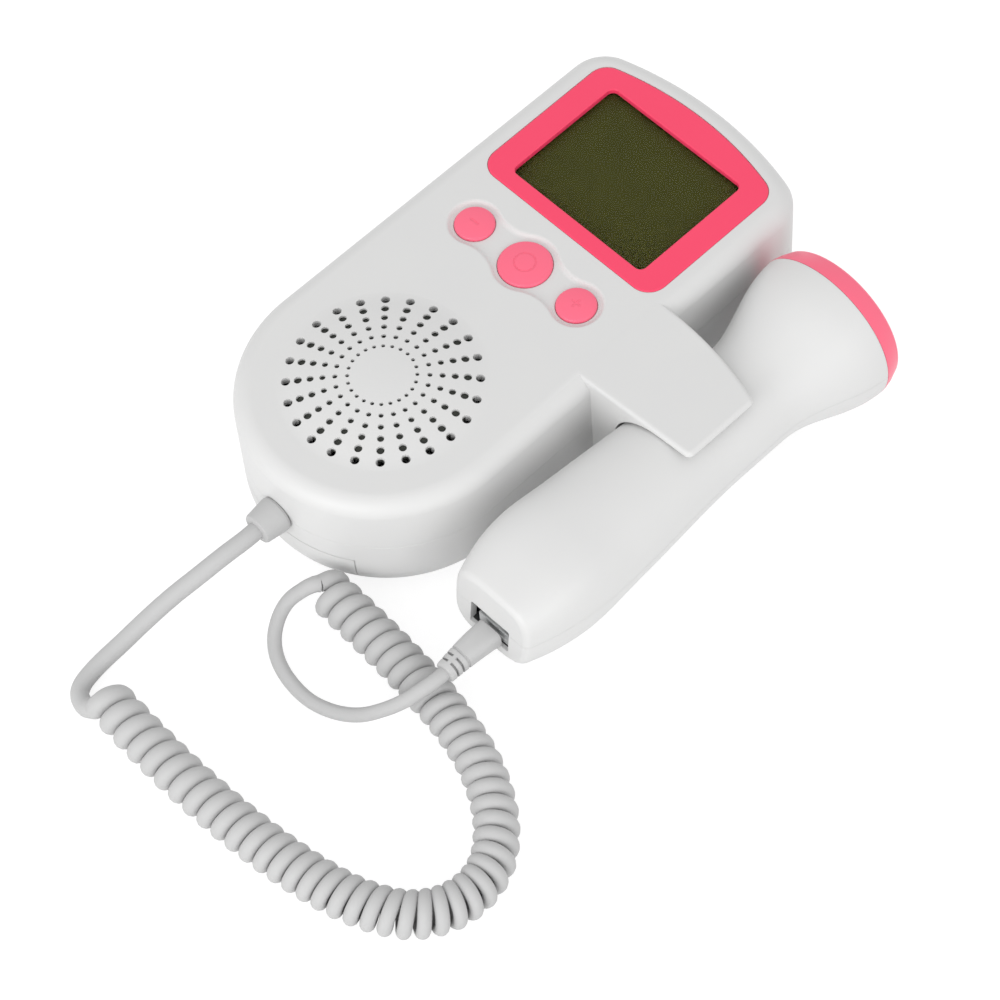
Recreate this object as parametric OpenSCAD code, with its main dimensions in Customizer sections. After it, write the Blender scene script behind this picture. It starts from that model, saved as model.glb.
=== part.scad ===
// Hand-held fetal heart monitor: a case with a display and a loudspeaker, a probe that
// rests in a clip at its side, and a curly lead that joins the two.
// Millimetres. +X is the probe's side, +Y runs from the loudspeaker to the display, +Z is up.
// The origin lies on the rest plane, under the middle of the case and its clipped probe.

/* [Case] */
// Radius of the round loudspeaker end
end_r = 33.5; // [32:0.5:36]
// Half width of the case at the display end
head_half_w = 33; // [31.5:0.5:35]
// Distance from the loudspeaker's centre to the display end
case_reach = 105.4; // [103:0.2:112]
// Radius of the bowed display end
end_bow_r = 92; // [80:1:120]
// Radius of the two corners beside the display
corner_r = 10; // [8:0.5:12]
// Height of the case
case_h = 33.2; // [32.6:0.2:36]
// Height of the seam between the two covers
seam_h = 17.4; // [16.8:0.2:18]
// Wall thickness of the covers
wall = 2; // [1.8:0.1:2.2]
// Rounding of the front cover's rim
front_round = 4.5; // [3:0.5:5.5]
// Rounding of the rear cover's rim
rear_round = 6.6; // [6:0.2:8]

/* [Probe clip] */
// Reach of the upper arm's tip from the middle of the case
arm_reach = 62.3; // [58:0.5:66]
// Near edge of the arm, measured from the loudspeaker's centre
arm_low_y = 30.6; // [30.4:0.2:34]
// Far edge of the arm at the case
arm_high_y = 57.3; // [54:0.2:57.6]
// Radius of the arm's bowed far edge
arm_bow_r = 92; // [80:1:120]
// Slope of the near edge towards the tip
arm_taper = 1.6; // [0:0.2:3]
// Corner radius of the arm's tip
arm_tip_r = 1.6; // [1:0.2:3]
// Reach of the lower jaw's tip
jaw_reach = 57.5; // [55:0.5:60]
// Height of the lower jaw's underside
jaw_floor = 2.4; // [1.5:0.1:3.2]
// Clearance between the clip and the probe
clip_gap = 0.3; // [0.2:0.05:0.4]

/* [Display] */
// Width of the visible window
view_w = 41; // [36:0.5:43]
// Length of the visible window
view_l = 32.6; // [28:0.5:34]
// Distance from the bezel's near edge to the window
view_inset = 4.1; // [3.4:0.1:4.6]
// Outside width of the bezel
bezel_w = 54.4; // [52:0.2:55.6]
// Length of the bezel at its middle
bezel_l = 44.5; // [43:0.1:45.5]
// Distance from the bezel's far edge to the display end
bezel_margin = 5.2; // [4.6:0.1:6.5]
// Corner radius of the bezel
bezel_corner_r = 5; // [3:0.5:7]
// Thickness of the bezel
bezel_t = 1.4; // [1.2:0.1:1.6]
// Height of the bezel above the face of the case
bezel_proud = 0.2; // [0.1:0.05:0.3]
// Clearance round the bezel
bezel_gap = 0.15; // [0.1:0.05:0.2]
// Thickness of the clear window
window_t = 1; // [0.8:0.1:1.2]
// Overlap of the window behind the bezel
window_lip = 2.4; // [1.8:0.1:3]
// Thickness of the liquid crystal panel
panel_t = 2; // [1.6:0.1:2.4]
// Overlap of the panel behind the bezel
panel_lip = 1.3; // [0.8:0.1:1.6]
// Width of the display carrier's rim outside the window
carrier_rim = 1.2; // [0.8:0.1:1.6]

/* [Buttons] */
// Distance from the bezel's near edge to the middle of the button row
button_drop = 11.9; // [11.3:0.1:13]
// Distance from the power button to each side button
button_pitch = 16.2; // [15.6:0.1:17]
// Diameter of the power button
power_d = 12.6; // [11:0.2:13.2]
// Diameter of the two volume buttons
volume_d = 9.4; // [8.6:0.2:10.2]
// Clearance round each button
button_gap = 0.25; // [0.2:0.05:0.35]
// Depth of the shared tray
tray_depth = 0.9; // [0.6:0.1:1]
// Margin of the tray round each button
tray_margin = 1.7; // [1.2:0.1:2]
// Height of each button's crown above the tray's floor
button_proud = 0.8; // [0.5:0.1:1]
// Travel of each button
button_travel = 0.8; // [0.5:0.1:0.9]
// Width of the flange that holds each button in
button_flange = 1; // [0.8:0.1:1.2]

/* [Loudspeaker] */
// Number of spokes in the hole pattern
spokes = 24; // [20:1:24]
// Number of holes along a spoke
spoke_holes = 6; // [4:1:6]
// Radius of the innermost ring of holes
first_ring_r = 7.7; // [7.2:0.1:8]
// Distance between rings
ring_pitch = 2.75; // [2.4:0.05:2.75]
// Diameter of the innermost holes
inner_hole_d = 0.9; // [0.7:0.05:1]
// Diameter of the outermost holes
outer_hole_d = 2.05; // [1.6:0.05:2.2]
// Radius of the perforated dome
dome_r = 22.6; // [22.4:0.1:23.4]
// Height of the dome
dome_h = 2.6; // [1.8:0.1:3.2]
// Wall thickness of the dome
dome_wall = 1.5; // [1.2:0.1:1.8]
// Diameter of the loudspeaker
speaker_d = 33.4; // [32:0.1:33.4]
// Depth of the loudspeaker with its magnet
speaker_depth = 11; // [9:0.5:11.5]
// Diameter of the magnet
magnet_d = 18; // [14:0.5:20]

/* [Battery bay] */
// Diameter of one cell
cell_d = 14.5; // [14:0.1:14.5]
// Length of one cell with its cap
cell_l = 50.5; // [49:0.1:50.5]
// Length that each spring takes up
spring_l = 2.4; // [1.8:0.1:3]
// Middle of the bay, measured from the loudspeaker's centre
bay_y = 3; // [2:0.2:4]
// Width of the battery door
door_w = 36; // [35.4:0.2:37]
// Height of the door's lip on the end wall
door_lip_h = 11; // [10:0.2:12]
// Thickness of the battery door
door_t = 1.8; // [1.6:0.1:1.9]
// Clearance round the door
door_gap = 0.2; // [0.15:0.05:0.3]

/* [Boards and screws] */
// Thickness of each board
board_t = 1.6; // [1:0.1:1.6]
// Width of the main board
board_w = 45.6; // [44.4:0.2:45.6]
// Length of the main board
board_l = 72; // [71:0.5:78]
// Distance from the main board's far edge to the display end
board_margin = 5.8; // [5.6:0.1:6]
// Diameter of each screw post
post_d = 6; // [5:0.2:6.4]
// Diameter of a case screw's shank
screw_d = 2.5; // [2:0.1:2.8]
// Diameter of a case screw's head
screw_head_d = 4.4; // [4:0.1:4.6]
// Clearance round a screw
screw_gap = 0.05; // [0.04:0.01:0.1]
// Diameter of a board screw's shank
board_screw_d = 1.8; // [1.6:0.1:2.2]

/* [Probe] */
// Distance of the probe's axis from the middle of the case
probe_x = 54.1; // [53.8:0.1:55]
// Height of the probe's axis
probe_z = 19.4; // [19.4:0.05:19.5]
// Largest radius of the handle
palm_r = 15.2; // [14:0.1:15.4]
// Radius of the handle in the clip
neck_r = 13; // [12.4:0.1:13.1]
// Radius of the handle's socket end
tail_r = 10.9; // [10.6:0.1:11.4]
// Radius of the bell at the band
bell_r = 19.2; // [18.5:0.1:19.3]
// Position of the socket end
tail_y = -21; // [-22:0.2:-20]
// Position of the thickest part of the handle
palm_y = 2; // [0:0.5:4]
// Position where the neck begins
neck_y = 46; // [44:0.5:48]
// Position where the bell begins
bell_y = 58; // [56:0.5:60]
// Position of the coloured band
band_y = 84.2; // [83:0.1:85]
// Wall thickness of the probe's shells
probe_wall = 1.8; // [1.6:0.1:2]
// Height of the socket end as a share of its width
tail_flat = 0.85; // [0.8:0.01:0.9]
// Height of the handle as a share of its width
handle_flat = 0.9; // [0.86:0.01:0.92]
// Lean of the socket end's face
tail_lean = 0.12; // [0:0.01:0.14]
// Width of the coloured band
band_w = 5.4; // [4:0.1:5.8]
// Taper of the band towards its front
band_taper = 1.1; // [0.6:0.1:1.4]
// Rounding of the band's front edge
band_round = 1.6; // [1:0.1:2]
// Width of the band's rim round the sensing face
face_rim = 3.2; // [2.8:0.1:4]
// Height of the sensing face's dome
face_dome = 0.8; // [0.4:0.1:1.2]
// Width of the probe's board
probe_board_w = 16.4; // [14:0.2:16.8]
// Length of the probe's board
probe_board_l = 58; // [54:1:60]

/* [Plug and socket] */
// Width of the plug
plug_w = 11; // [10:0.1:11.2]
// Height of the plug
plug_h = 5.4; // [5:0.1:5.6]
// Room above the plug for its latch
latch_room = 1; // [0.8:0.1:1.2]
// Length of the plug inside the socket
plug_l = 14; // [12:0.5:15]
// Clearance round the plug
plug_gap = 0.3; // [0.2:0.05:0.4]
// Wall thickness of the socket
jack_wall = 1; // [0.8:0.1:1.2]
// Drop of the plug's axis below the probe's axis
plug_drop = 3; // [2.6:0.1:3]
// Length of the moulded boot
boot_l = 17.8; // [17.4:0.1:18]
// Width of the boot at the plug
boot_w = 8.6; // [8:0.1:10]
// Diameter of the boot at the lead
boot_d = 5.4; // [5:0.1:5.8]

/* [Lead] */
// Diameter of the lead at the case
case_cord_d = 4; // [3.6:0.1:4.2]
// Diameter of the lead at the probe
cord_d = 3.2; // [3:0.1:3.4]
// Diameter of the wire in the curls
curl_wire_d = 2.5; // [2.2:0.1:2.5]
// Outside diameter of the curls
curl_d = 11; // [10:0.1:11.4]
// Distance between one curl and the next
curl_pitch = 3.9; // [3.9:0.01:4]
// Number of whole curls
curls = 48; // [46:1:48]
// Diameter of the collar at the case
collar_d = 8.8; // [8:0.2:9.6]
// Diameter of the collar at the lead
collar_tip_d = 5.8; // [5:0.2:6.4]
// Length of the collar
collar_l = 6.5; // [6.3:0.1:6.7]

/* [Hidden] */
$fn = 64;

// Finishes
white_abs = "#E4E4E2";
pink_abs = "#FB5078";
pink_key = "#FF7F96";
cord_grey = "#B9B9B7";
lcd_olive = "#434526";
steel = "#B8BABC";
board_green = "#2F6B45";
rubber_grey = "#7C7F80";
fit = 0.1;         // clearance between seated pieces
eps = 0.01;        // overlap that keeps a cut clean

// The frame of the whole part
mid_x = (probe_x + bell_r - end_r) / 2;
mid_y = (case_reach - end_r) / 2;

// Places along the case, from the loudspeaker's centre
bezel_high_y = case_reach - bezel_margin;
bezel_low_y = bezel_high_y - bezel_l;
view_y = bezel_low_y + view_inset + view_l / 2;
button_y = bezel_low_y - button_drop;
board_high_y = case_reach - board_margin;
board_low_y = board_high_y - board_l;

// Heights inside the case
face_z = case_h;
under_z = case_h - wall;
bezel_floor = face_z + bezel_proud - bezel_t;
window_z = bezel_floor - window_t;
panel_z = window_z - fit - panel_t;
board_top = panel_z - 3.8;
tray_z = face_z - tray_depth;
mat_t = 1.2;
stem_z = board_top + mat_t + 1.5 + button_travel + fit;
bay_w = 2 * cell_d + 1.4;
bay_l = cell_l + spring_l + 1.2;
bay_wall = 1.4;
bay_low_y = bay_y - bay_l / 2 - bay_wall;
cell_z = door_t + 0.5 + cell_d / 2;
bay_roof = cell_z + cell_d / 2 + 0.4;
door_high_y = bay_y + bay_l / 2 + bay_wall + 1;
speaker_top = under_z - 0.2;
screw_seat = 8;
screw_head_h = 1.7;

// The end arc and the corners of the outline
bow_y = case_reach - end_bow_r;
corner_x = head_half_w - corner_r;
corner_reach = sqrt(pow(end_bow_r - corner_r, 2) - pow(corner_x, 2));
corner_turn = atan2(corner_reach, corner_x);

// Screw posts of the case, and posts of the board
post_inset = 6.7;
post_spots = [for (s = [-1, 1], p = [[end_r - post_inset, -7], [head_half_w - post_inset + 0.5, 36.5],
    [head_half_w - post_inset, case_reach - 12.9]]) [s * p.x, p.y]];
board_posts = [for (s = [-1, 1], p = [[board_w / 2 - 3.3, bezel_low_y - 1.5],
    [board_w / 2 - 4.8, board_high_y - 2.3]]) [s * p.x, p.y]];

function arc(c, r, a0, a1, n) =
    [for (i = [0:n]) let (a = a0 + (a1 - a0) * i / n) [c.x + r * cos(a), c.y + r * sin(a)]];

// Outline of the case, drawn in by d all round
function case_outline(d) = concat(
    arc([0, 0], end_r - d, -180, 0, 24),
    arc([corner_x, bow_y + corner_reach], corner_r - d, 0, corner_turn, 5),
    arc([0, bow_y], end_bow_r - d, corner_turn + 5, 175 - corner_turn, 3),
    arc([-corner_x, bow_y + corner_reach], corner_r - d, 180 - corner_turn, 180, 5));

// Closed skin through rings that all have the same number of points
// (turn is 1 where the points run anticlockwise as seen from the last ring; hollow
// sections have their inner points in the reverse order of the outer ones)
module loft(rings, turn = 1, hollow = false) {
    n = len(rings[0]);
    m = len(rings);
    sides = [for (j = [0:m - 2], i = [0:n - 1]) let (a = j * n + i, b = j * n + (i + 1) % n)
        each [[a, b + n, b], [a, a + n, b + n]]];
    strip = [for (i = [0:n / 2 - 2]) each [[i, i + 1, n - 1 - i], [i + 1, n - 2 - i, n - 1 - i]]];
    low = hollow ? strip : [[for (i = [0:n - 1]) i]];
    caps = [for (f = low) each [f, [for (i = [len(f) - 1:-1:0]) (m - 1) * n + f[i]]]];
    polyhedron(points = [for (r = rings, p = r) p], convexity = 8, faces = [for (f = concat(sides, caps))
        turn > 0 ? f : [for (i = [len(f) - 1:-1:0]) f[i]]]);
}

function at_height(outline, z) = [for (p = outline) [p.x, p.y, z]];

// Rings of the case's form: drawn in by d, from z0 to z1, with rounded rims
function rim_rings(d, z, r, up, n) = [for (i = [0:n]) let (a = 90 * (up > 0 ? i : n - i) / n)
    at_height(case_outline(d + r * (1 - cos(a))), z - up * r * (1 - sin(a)))];

module front_form(d, z_low) {
    loft(concat([at_height(case_outline(d), z_low)],
        rim_rings(d, case_h - d, front_round - d, 1, 5)));
}

module rear_form(d, z_high) {
    loft(concat(rim_rings(d, d, rear_round - d, -1, 5),
        [at_height(case_outline(d), z_high)]));
}

module on_unit() {
    translate([-mid_x, -mid_y, 0]) children();
}

// Probe pieces are drawn with Y along the handle and the axis at the origin
module on_probe() {
    translate([probe_x - mid_x, -mid_y, probe_z]) children();
}

module along_y(y0, l, r, r2 = -1) {
    translate([0, y0, 0]) rotate([-90, 0, 0]) cylinder(h = l, r1 = r, r2 = r2 < 0 ? r : r2);
}

module box_at(low, size) {
    translate(low) cube(size);
}

// Box that is centred on x = 0, from y0 and z0 upwards
module mid_box(w, y0, l, z0, h) {
    translate([-w / 2, y0, z0]) cube([w, l, h]);
}

// Plan of the clip's arm or jaw, from inside the case's side to the tip
arm_root_x = end_r - 4;
arm_bow_mid = [end_r - 0.5, arm_high_y - arm_bow_r];
function arm_plan(reach) = let (
    tip = [reach - arm_tip_r, arm_low_y + arm_taper + arm_tip_r],
    far_y = sqrt(pow(arm_bow_r - arm_tip_r, 2) - pow(tip.x - arm_bow_mid.x, 2)),
    turn = atan2(far_y, tip.x - arm_bow_mid.x))
    concat([[arm_root_x, arm_low_y]], arc(tip, arm_tip_r, -90, 0, 4),
    arc([tip.x, arm_bow_mid.y + far_y], arm_tip_r, 0, turn, 4),
    arc(arm_bow_mid, arm_bow_r, turn + 3, 90, 5), [[arm_root_x, arm_high_y]]);

// The clip's bore is round, and lies back from the axis because the handle is wider than high
clip_r = handle_r(arm_low_y) * handle_flat + clip_gap;
clip_back = handle_r(arm_low_y) * (1 - handle_flat);

module clip_space() {
    translate([probe_x - clip_back, 0, probe_z]) {
        along_y(arm_low_y - 2, arm_high_y - arm_low_y + 4, clip_r);
        box_at([0, arm_low_y - 2, -clip_r], [40, arm_high_y - arm_low_y + 4, 2 * clip_r]);
    }
}

// Hollow root of the clip, between the case's side and the probe
module root_pocket(z0, z1) {
    box_at([arm_root_x - 1, arm_low_y + wall, z0],
        [probe_x - clip_back - clip_r - 2 * wall - arm_root_x, arm_high_y - arm_low_y - 2.5 * wall, z1 - z0]);
}

module bezel_outline(d) {
    bow = bezel_high_y - case_reach + end_bow_r;
    offset_r = bezel_corner_r - d;
    intersection() {
        hull() for (s = [-1, 1]) {
            translate([s * (bezel_w / 2 - bezel_corner_r), bezel_low_y + bezel_corner_r])
                circle(r = offset_r, $fn = 32);
            translate([s * (bezel_w / 2 - bezel_corner_r), bezel_high_y - bezel_corner_r - 3])
                circle(r = offset_r, $fn = 32);
            translate([s * bezel_w / 4, bezel_high_y - bezel_corner_r - 0.5])
                circle(r = offset_r, $fn = 32);
        }
        translate([0, bow_y]) circle(r = bow - d, $fn = 180);
    }
}

module tray_outline(grow) {
    for (x = [-1, 0, 1]) translate([x * button_pitch, button_y])
        circle(d = (x == 0 ? power_d : volume_d) + 2 * tray_margin + grow);
    translate([-button_pitch, button_y - volume_d / 2]) square([2 * button_pitch, volume_d]);
}

module button_holes(z0) {
    for (x = [-1, 0, 1]) translate([x * button_pitch, button_y, z0])
        cylinder(h = case_h, d = (x == 0 ? power_d : volume_d) + 2 * button_gap);
}

// Loudspeaker holes: straight spokes, with holes that grow outwards
module grille_holes() {
    for (s = [0:spokes - 1], k = [0:spoke_holes - 1])
        rotate(360 * s / spokes) translate([first_ring_r + ring_pitch * k, 0, under_z - 1])
            cylinder(h = wall + dome_h + 2,
                d = inner_hole_d + (outer_hole_d - inner_hole_d) * k / (spoke_holes - 1),
                $fn = 16);
}

dome_ball_r = (pow(dome_r, 2) + pow(dome_h, 2)) / (2 * dome_h);

module dome(t, r) {
    translate([0, 0, case_h + dome_h - dome_ball_r]) intersection() {
        sphere(r = dome_ball_r - t, $fn = 200);
        translate([0, 0, dome_ball_r - dome_h - wall - t]) cylinder(h = dome_h + wall + t, r = r);
    }
}

module front_cover() {
    seat_r = speaker_d / 2 + 0.2;
    rib_low = speaker_top - 3.4;
    color(white_abs) on_unit() difference() {
        union() {
            difference() {
                union() {
                    front_form(0, seam_h);
                    translate([0, 0, seam_h]) linear_extrude(case_h - seam_h) polygon(arm_plan(arm_reach));
                    dome(0, dome_r);
                }
                front_form(wall, seam_h - eps);
                dome(dome_wall, dome_r - dome_wall);
                root_pocket(seam_h - eps, face_z - wall);
            }
            // Posts for the case screws and for the board
            for (p = post_spots) translate([p.x, p.y, seam_h])
                cylinder(h = under_z + eps - seam_h, d = post_d, $fn = 32);
            for (p = board_posts) translate([p.x, p.y, board_top])
                cylinder(h = under_z + eps - board_top, d = 4, $fn = 32);
            // Rib round the loudspeaker, and the seat in front of its rim
            translate([0, 0, rib_low]) difference() {
                cylinder(h = case_h - rib_low, r = seat_r + 0.8);
                translate([0, 0, -1]) cylinder(h = speaker_top - rib_low + 1, r = seat_r);
                cylinder(h = case_h, r = seat_r - 1.4);
            }
        }
        for (p = post_spots) translate([p.x, p.y, seam_h - eps])
            cylinder(h = 9, d = screw_d + 2 * screw_gap, $fn = 32);
        for (p = board_posts) translate([p.x, p.y, board_top - eps])
            cylinder(h = 4.5, d = board_screw_d + 2 * screw_gap, $fn = 32);
        clip_space();
        grille_holes();
        button_holes(seam_h);
        translate([0, 0, tray_z]) linear_extrude(5) tray_outline(0);
        translate([0, 0, bezel_floor]) linear_extrude(5) bezel_outline(-bezel_gap);
        mid_box(view_w + 2 * window_lip + 2 * fit, view_y - view_l / 2 - window_lip - fit,
            view_l + 2 * window_lip + 2 * fit, seam_h, case_h);
        translate([0, 0, seam_h]) along_y(-end_r - 1, 2 * wall, collar_d / 2 - 1.2);
    }
}

module door_plan(gap) {
    translate([-door_w / 2 - gap, -end_r - 2])
        square([door_w + 2 * gap, door_high_y + end_r + 2 + gap]);
}

// Room for the door: its plate, and its lip up the end wall
module door_room(gap) {
    translate([0, 0, -1]) linear_extrude(1 + door_t + gap) door_plan(gap);
    translate([0, 0, -1]) linear_extrude(1 + door_lip_h + gap) intersection() {
        door_plan(gap);
        translate([-end_r, -end_r - 2]) square([2 * end_r, end_r + 2 + bay_low_y - 2 * door_gap + gap]);
    }
}

module rear_cover() {
    ledge_z = door_t + door_gap;
    tub_w = door_w + 2 * door_gap + 2 * bay_wall;
    color(white_abs) on_unit() difference() {
        union() {
            difference() {
                union() {
                    rear_form(0, seam_h);
                    translate([0, 0, jaw_floor]) linear_extrude(seam_h - jaw_floor) polygon(arm_plan(jaw_reach));
                }
                rear_form(wall, seam_h + eps);
                root_pocket(jaw_floor + wall, seam_h + eps);
            }
            // Battery bay, the ledge round it, the tub behind the door's lip and the screw posts
            intersection() {
                rear_form(wall / 2, bay_roof + bay_wall);
                union() {
                    mid_box(bay_w + 2 * bay_wall, bay_low_y, bay_l + 2 * bay_wall, ledge_z, case_h);
                    mid_box(tub_w, bay_low_y, door_high_y + bay_wall - bay_low_y, ledge_z, bay_wall);
                    mid_box(tub_w, -end_r, bay_low_y + end_r + bay_wall, ledge_z, door_lip_h + bay_wall - ledge_z);
                    for (p = post_spots) translate([p.x, p.y, 0]) cylinder(h = seam_h, d = post_d, $fn = 32);
                }
            }
        }
        mid_box(bay_w, bay_low_y + bay_wall, bay_l, -1, bay_roof + 1);
        door_room(door_gap);
        for (p = post_spots) translate([p.x, p.y, -1]) {
            cylinder(h = seam_h + 2, d = screw_d + 2 * screw_gap, $fn = 32);
            cylinder(h = 1 + screw_seat, d = screw_head_d + 4 * screw_gap, $fn = 32);
        }
        clip_space();
        translate([0, 0, seam_h]) along_y(-end_r - 1, 2 * wall, collar_d / 2 - 1.2);
    }
}

// The door is the piece of the rear cover's form that the cover leaves open
module battery_door() {
    color(white_abs) on_unit() difference() {
        intersection() {
            rear_form(0, seam_h);
            door_room(0);
        }
        rear_form(door_t, seam_h + eps);
        // Thumb ridges
        for (k = [0:3]) mid_box(14, door_high_y - 8 - 2 * k, 0.8, -1, 1.5);
    }
}

module display_bezel() {
    color(pink_abs) on_unit() translate([0, 0, bezel_floor]) difference() {
        linear_extrude(bezel_t) bezel_outline(0);
        mid_box(view_w, view_y - view_l / 2, view_l, -1, bezel_t + 2);
    }
}

module display_window() {
    color("#C9D6DC", 0.4) on_unit() mid_box(view_w + 2 * window_lip,
        view_y - view_l / 2 - window_lip, view_l + 2 * window_lip, window_z, window_t);
}

module display_panel() {
    color(lcd_olive) on_unit() mid_box(view_w + 2 * panel_lip,
        view_y - view_l / 2 - panel_lip, view_l + 2 * panel_lip, panel_z, panel_t);
}

module display_frame() {
    w = view_w + 2 * window_lip;
    l = view_l + 2 * window_lip;
    color("white") on_unit() difference() {
        mid_box(w, view_y - l / 2, l, board_top + fit / 2, window_z - board_top - fit);
        mid_box(view_w + 2 * panel_lip + 2 * fit, view_y - view_l / 2 - panel_lip - fit,
            view_l + 2 * panel_lip + 2 * fit, panel_z - fit / 2, 10);
        mid_box(view_w - 6, view_y - view_l / 2 + 6, view_l - 9, board_top - 1, 10);
        mid_box(31, view_y - view_l / 2 + 1, 3.4, board_top - 1, 10);
    }
}

module zebra_strip() {
    color(rubber_grey) on_unit() mid_box(30, view_y - view_l / 2 + 1.5, 2.4,
        board_top + fit / 2, panel_z - board_top - fit);
}

module main_board() {
    color(board_green) on_unit() translate([0, 0, board_top - board_t]) difference() {
        union() {
            mid_box(board_w, board_low_y, board_l, 0, board_t - fit / 2);
            // Chips and the lead's terminal block
            mid_box(14, view_y - 10, 14, -1.4, 1.5);
            for (s = [-1, 1]) translate([s * 14 - 4, view_y + 8, -2]) cube([8, 6, 2.1]);
            mid_box(10, board_low_y + 1, 5, -3.5, 3.6);
        }
        for (p = board_posts) translate([p.x, p.y, -5])
            cylinder(h = 20, d = board_screw_d + 4 * screw_gap, $fn = 32);
    }
}

module board_screws() {
    color(steel) on_unit() for (p = board_posts) translate([p.x, p.y, board_top - board_t]) {
        cylinder(h = board_t + 4, d = board_screw_d, $fn = 32);
        translate([0, 0, -1.1]) cylinder(h = 1.1, d = 1.8 * board_screw_d, $fn = 32);
    }
}

module keypad_mat() {
    color(rubber_grey) on_unit() translate([0, 0, board_top + fit / 2]) {
        mid_box(2 * button_pitch + 12, button_y - 6.5, 13, 0, mat_t - fit / 2);
        for (x = [-1, 0, 1]) translate([x * button_pitch, button_y, mat_t - fit / 2 - eps])
            cylinder(h = 1.5, r1 = 4, r2 = 2.6);
    }
}

// One push button: crown, barrel, flange under the cover and a stem over the rubber dome
module push_button(x, d, colour) {
    flange_z = under_z - fit - 0.9;
    crown_z = tray_z + button_proud;
    color(colour) on_unit() translate([x, button_y, 0]) {
        translate([0, 0, stem_z]) cylinder(h = flange_z - stem_z + eps, d = d * 0.5);
        translate([0, 0, flange_z]) cylinder(h = 0.9, d = d + 2 * button_flange);
        translate([0, 0, flange_z + 0.9 - eps]) cylinder(h = crown_z - 0.7 - flange_z - 0.9 + eps, d = d);
        translate([0, 0, crown_z - 0.7 - eps]) rotate_extrude() intersection() {
            square([d / 2, 0.7 + eps]);
            translate([0, 0.7 + eps - d]) circle(r = d, $fn = 120);
            union() {
                square([d / 2 - 0.5, 2]);
                translate([d / 2 - 0.5, 0]) circle(r = 0.5, $fn = 32);
            }
        }
    }
}

module volume_down_button() push_button(-button_pitch, volume_d, pink_key);

module power_button() push_button(0, power_d, pink_key);

module volume_up_button() push_button(button_pitch, volume_d, pink_key);

module speaker_frame() {
    r = speaker_d / 2;
    color(steel) on_unit() translate([0, 0, speaker_top - fit]) rotate_extrude()
        polygon([[r, 0], [r, -1.2], [r - 2, -1.4], [magnet_d / 2 + 2, -5.2], [magnet_d / 2 - 1, -5.2],
            [magnet_d / 2 - 1, -4.2], [magnet_d / 2 + 1.6, -4.2], [r - 3, -0.8], [r - 3, 0]]);
}

module speaker_cone() {
    r = speaker_d / 2 - 3.1;
    color("#3B3B3B") on_unit() translate([0, 0, speaker_top - fit]) rotate_extrude()
        polygon([[r, -0.1], [r, -0.5], [6, -3.6], [0, -2.2], [0, -1.8], [6, -3.1], [r - 2, -0.1]]);
}

module speaker_magnet() {
    color(steel) on_unit() translate([0, 0, speaker_top - speaker_depth])
        cylinder(h = speaker_depth - 5.3 - fit, d = magnet_d);
}

// One cell, with its cap at the end that s names
module cell(x, s) {
    color("#C7A14A") on_unit() translate([x, bay_y, cell_z]) mirror([0, s < 0 ? 1 : 0, 0]) {
        along_y(-cell_l / 2 + spring_l / 2, cell_l - 1, cell_d / 2);
        along_y(cell_l / 2 + spring_l / 2 - 1 - eps, 1 + eps, 2.7);
    }
}

module battery_left() cell(-cell_d / 2 - 0.2, 1);

module battery_right() cell(cell_d / 2 + 0.2, -1);

module battery_contacts() {
    color(steel) on_unit() for (s = [-1, 1], x = [-1, 1])
        translate([x * (cell_d / 2 + 0.2) - 5, bay_y + (s > 0 ? bay_l / 2 - 0.5 : 0.1 - bay_l / 2), cell_z - 5])
            cube([10, 0.4, 10]);
}

module battery_springs() {
    color(steel) on_unit() for (s = [-1, 1]) translate([s * (cell_d / 2 + 0.2), bay_y, cell_z])
        mirror([0, s > 0 ? 1 : 0, 0]) along_y(-bay_l / 2 + 0.6, spring_l - 0.1, 4.2, 2.8);
}

module case_screws() {
    color(steel) on_unit() for (p = post_spots) translate([p.x, p.y, screw_seat - screw_head_h]) {
        cylinder(h = screw_head_h, d = screw_head_d, $fn = 32);
        cylinder(h = screw_head_h + seam_h - screw_seat + 7, d = screw_d, $fn = 32);
    }
}

// Collar: flange inside the wall, neck through it and a tapered sleeve outside
collar_y = -end_r - collar_l;
module strain_relief() {
    color(cord_grey) on_unit() translate([0, 0, seam_h]) {
        along_y(collar_y, collar_l - 1.6, collar_tip_d / 2, collar_d / 2);
        along_y(-end_r - 1.6, 1.5, collar_d / 2);
        along_y(-end_r - 0.2, wall + 0.8, collar_d / 2 - 1.3);
        along_y(-end_r + wall + 0.5, 1.2, collar_d / 2 - 0.2);
    }
}

// Tube of n sides along points p, with a reference direction for each ring
function unit(v) = v / norm(v);
function heading(p, i) = unit(p[min(i + 1, len(p) - 1)] - p[max(i - 1, 0)]);
function tube_ring(p, t, ref, d, n) = let (v = unit(cross(t, ref)), u = cross(v, t))
    [for (k = [0:n - 1]) p + d / 2 * (cos(360 * k / n) * u + sin(360 * k / n) * v)];

module tube(p, refs, d, n) {
    m = len(p);
    pts = [for (i = [0:m - 1]) each tube_ring(p[i], heading(p, i), refs[i], d, n)];
    polyhedron(points = concat(pts, [p[0], p[m - 1]]), convexity = 10, faces = concat(
        [for (i = [0:m - 2], k = [0:n - 1]) let (a = i * n + k, b = i * n + (k + 1) % n)
            each [[a, b, b + n], [a, b + n, a + n]]],
        [for (k = [0:n - 1]) [m * n, (k + 1) % n, k]],
        [for (k = [0:n - 1]) [m * n + 1, (m - 1) * n + k, (m - 1) * n + (k + 1) % n]]));
}

// Smooth route through chosen points, s steps between one point and the next
function spline(p, i, t) = let (a = p[max(i - 1, 0)], b = p[i], c = p[i + 1], d = p[min(i + 2, len(p) - 1)])
    0.5 * (2 * b + (c - a) * t + (2 * a - 5 * b + 4 * c - d) * t * t + (3 * b - a - 3 * c + d) * pow(t, 3));
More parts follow.
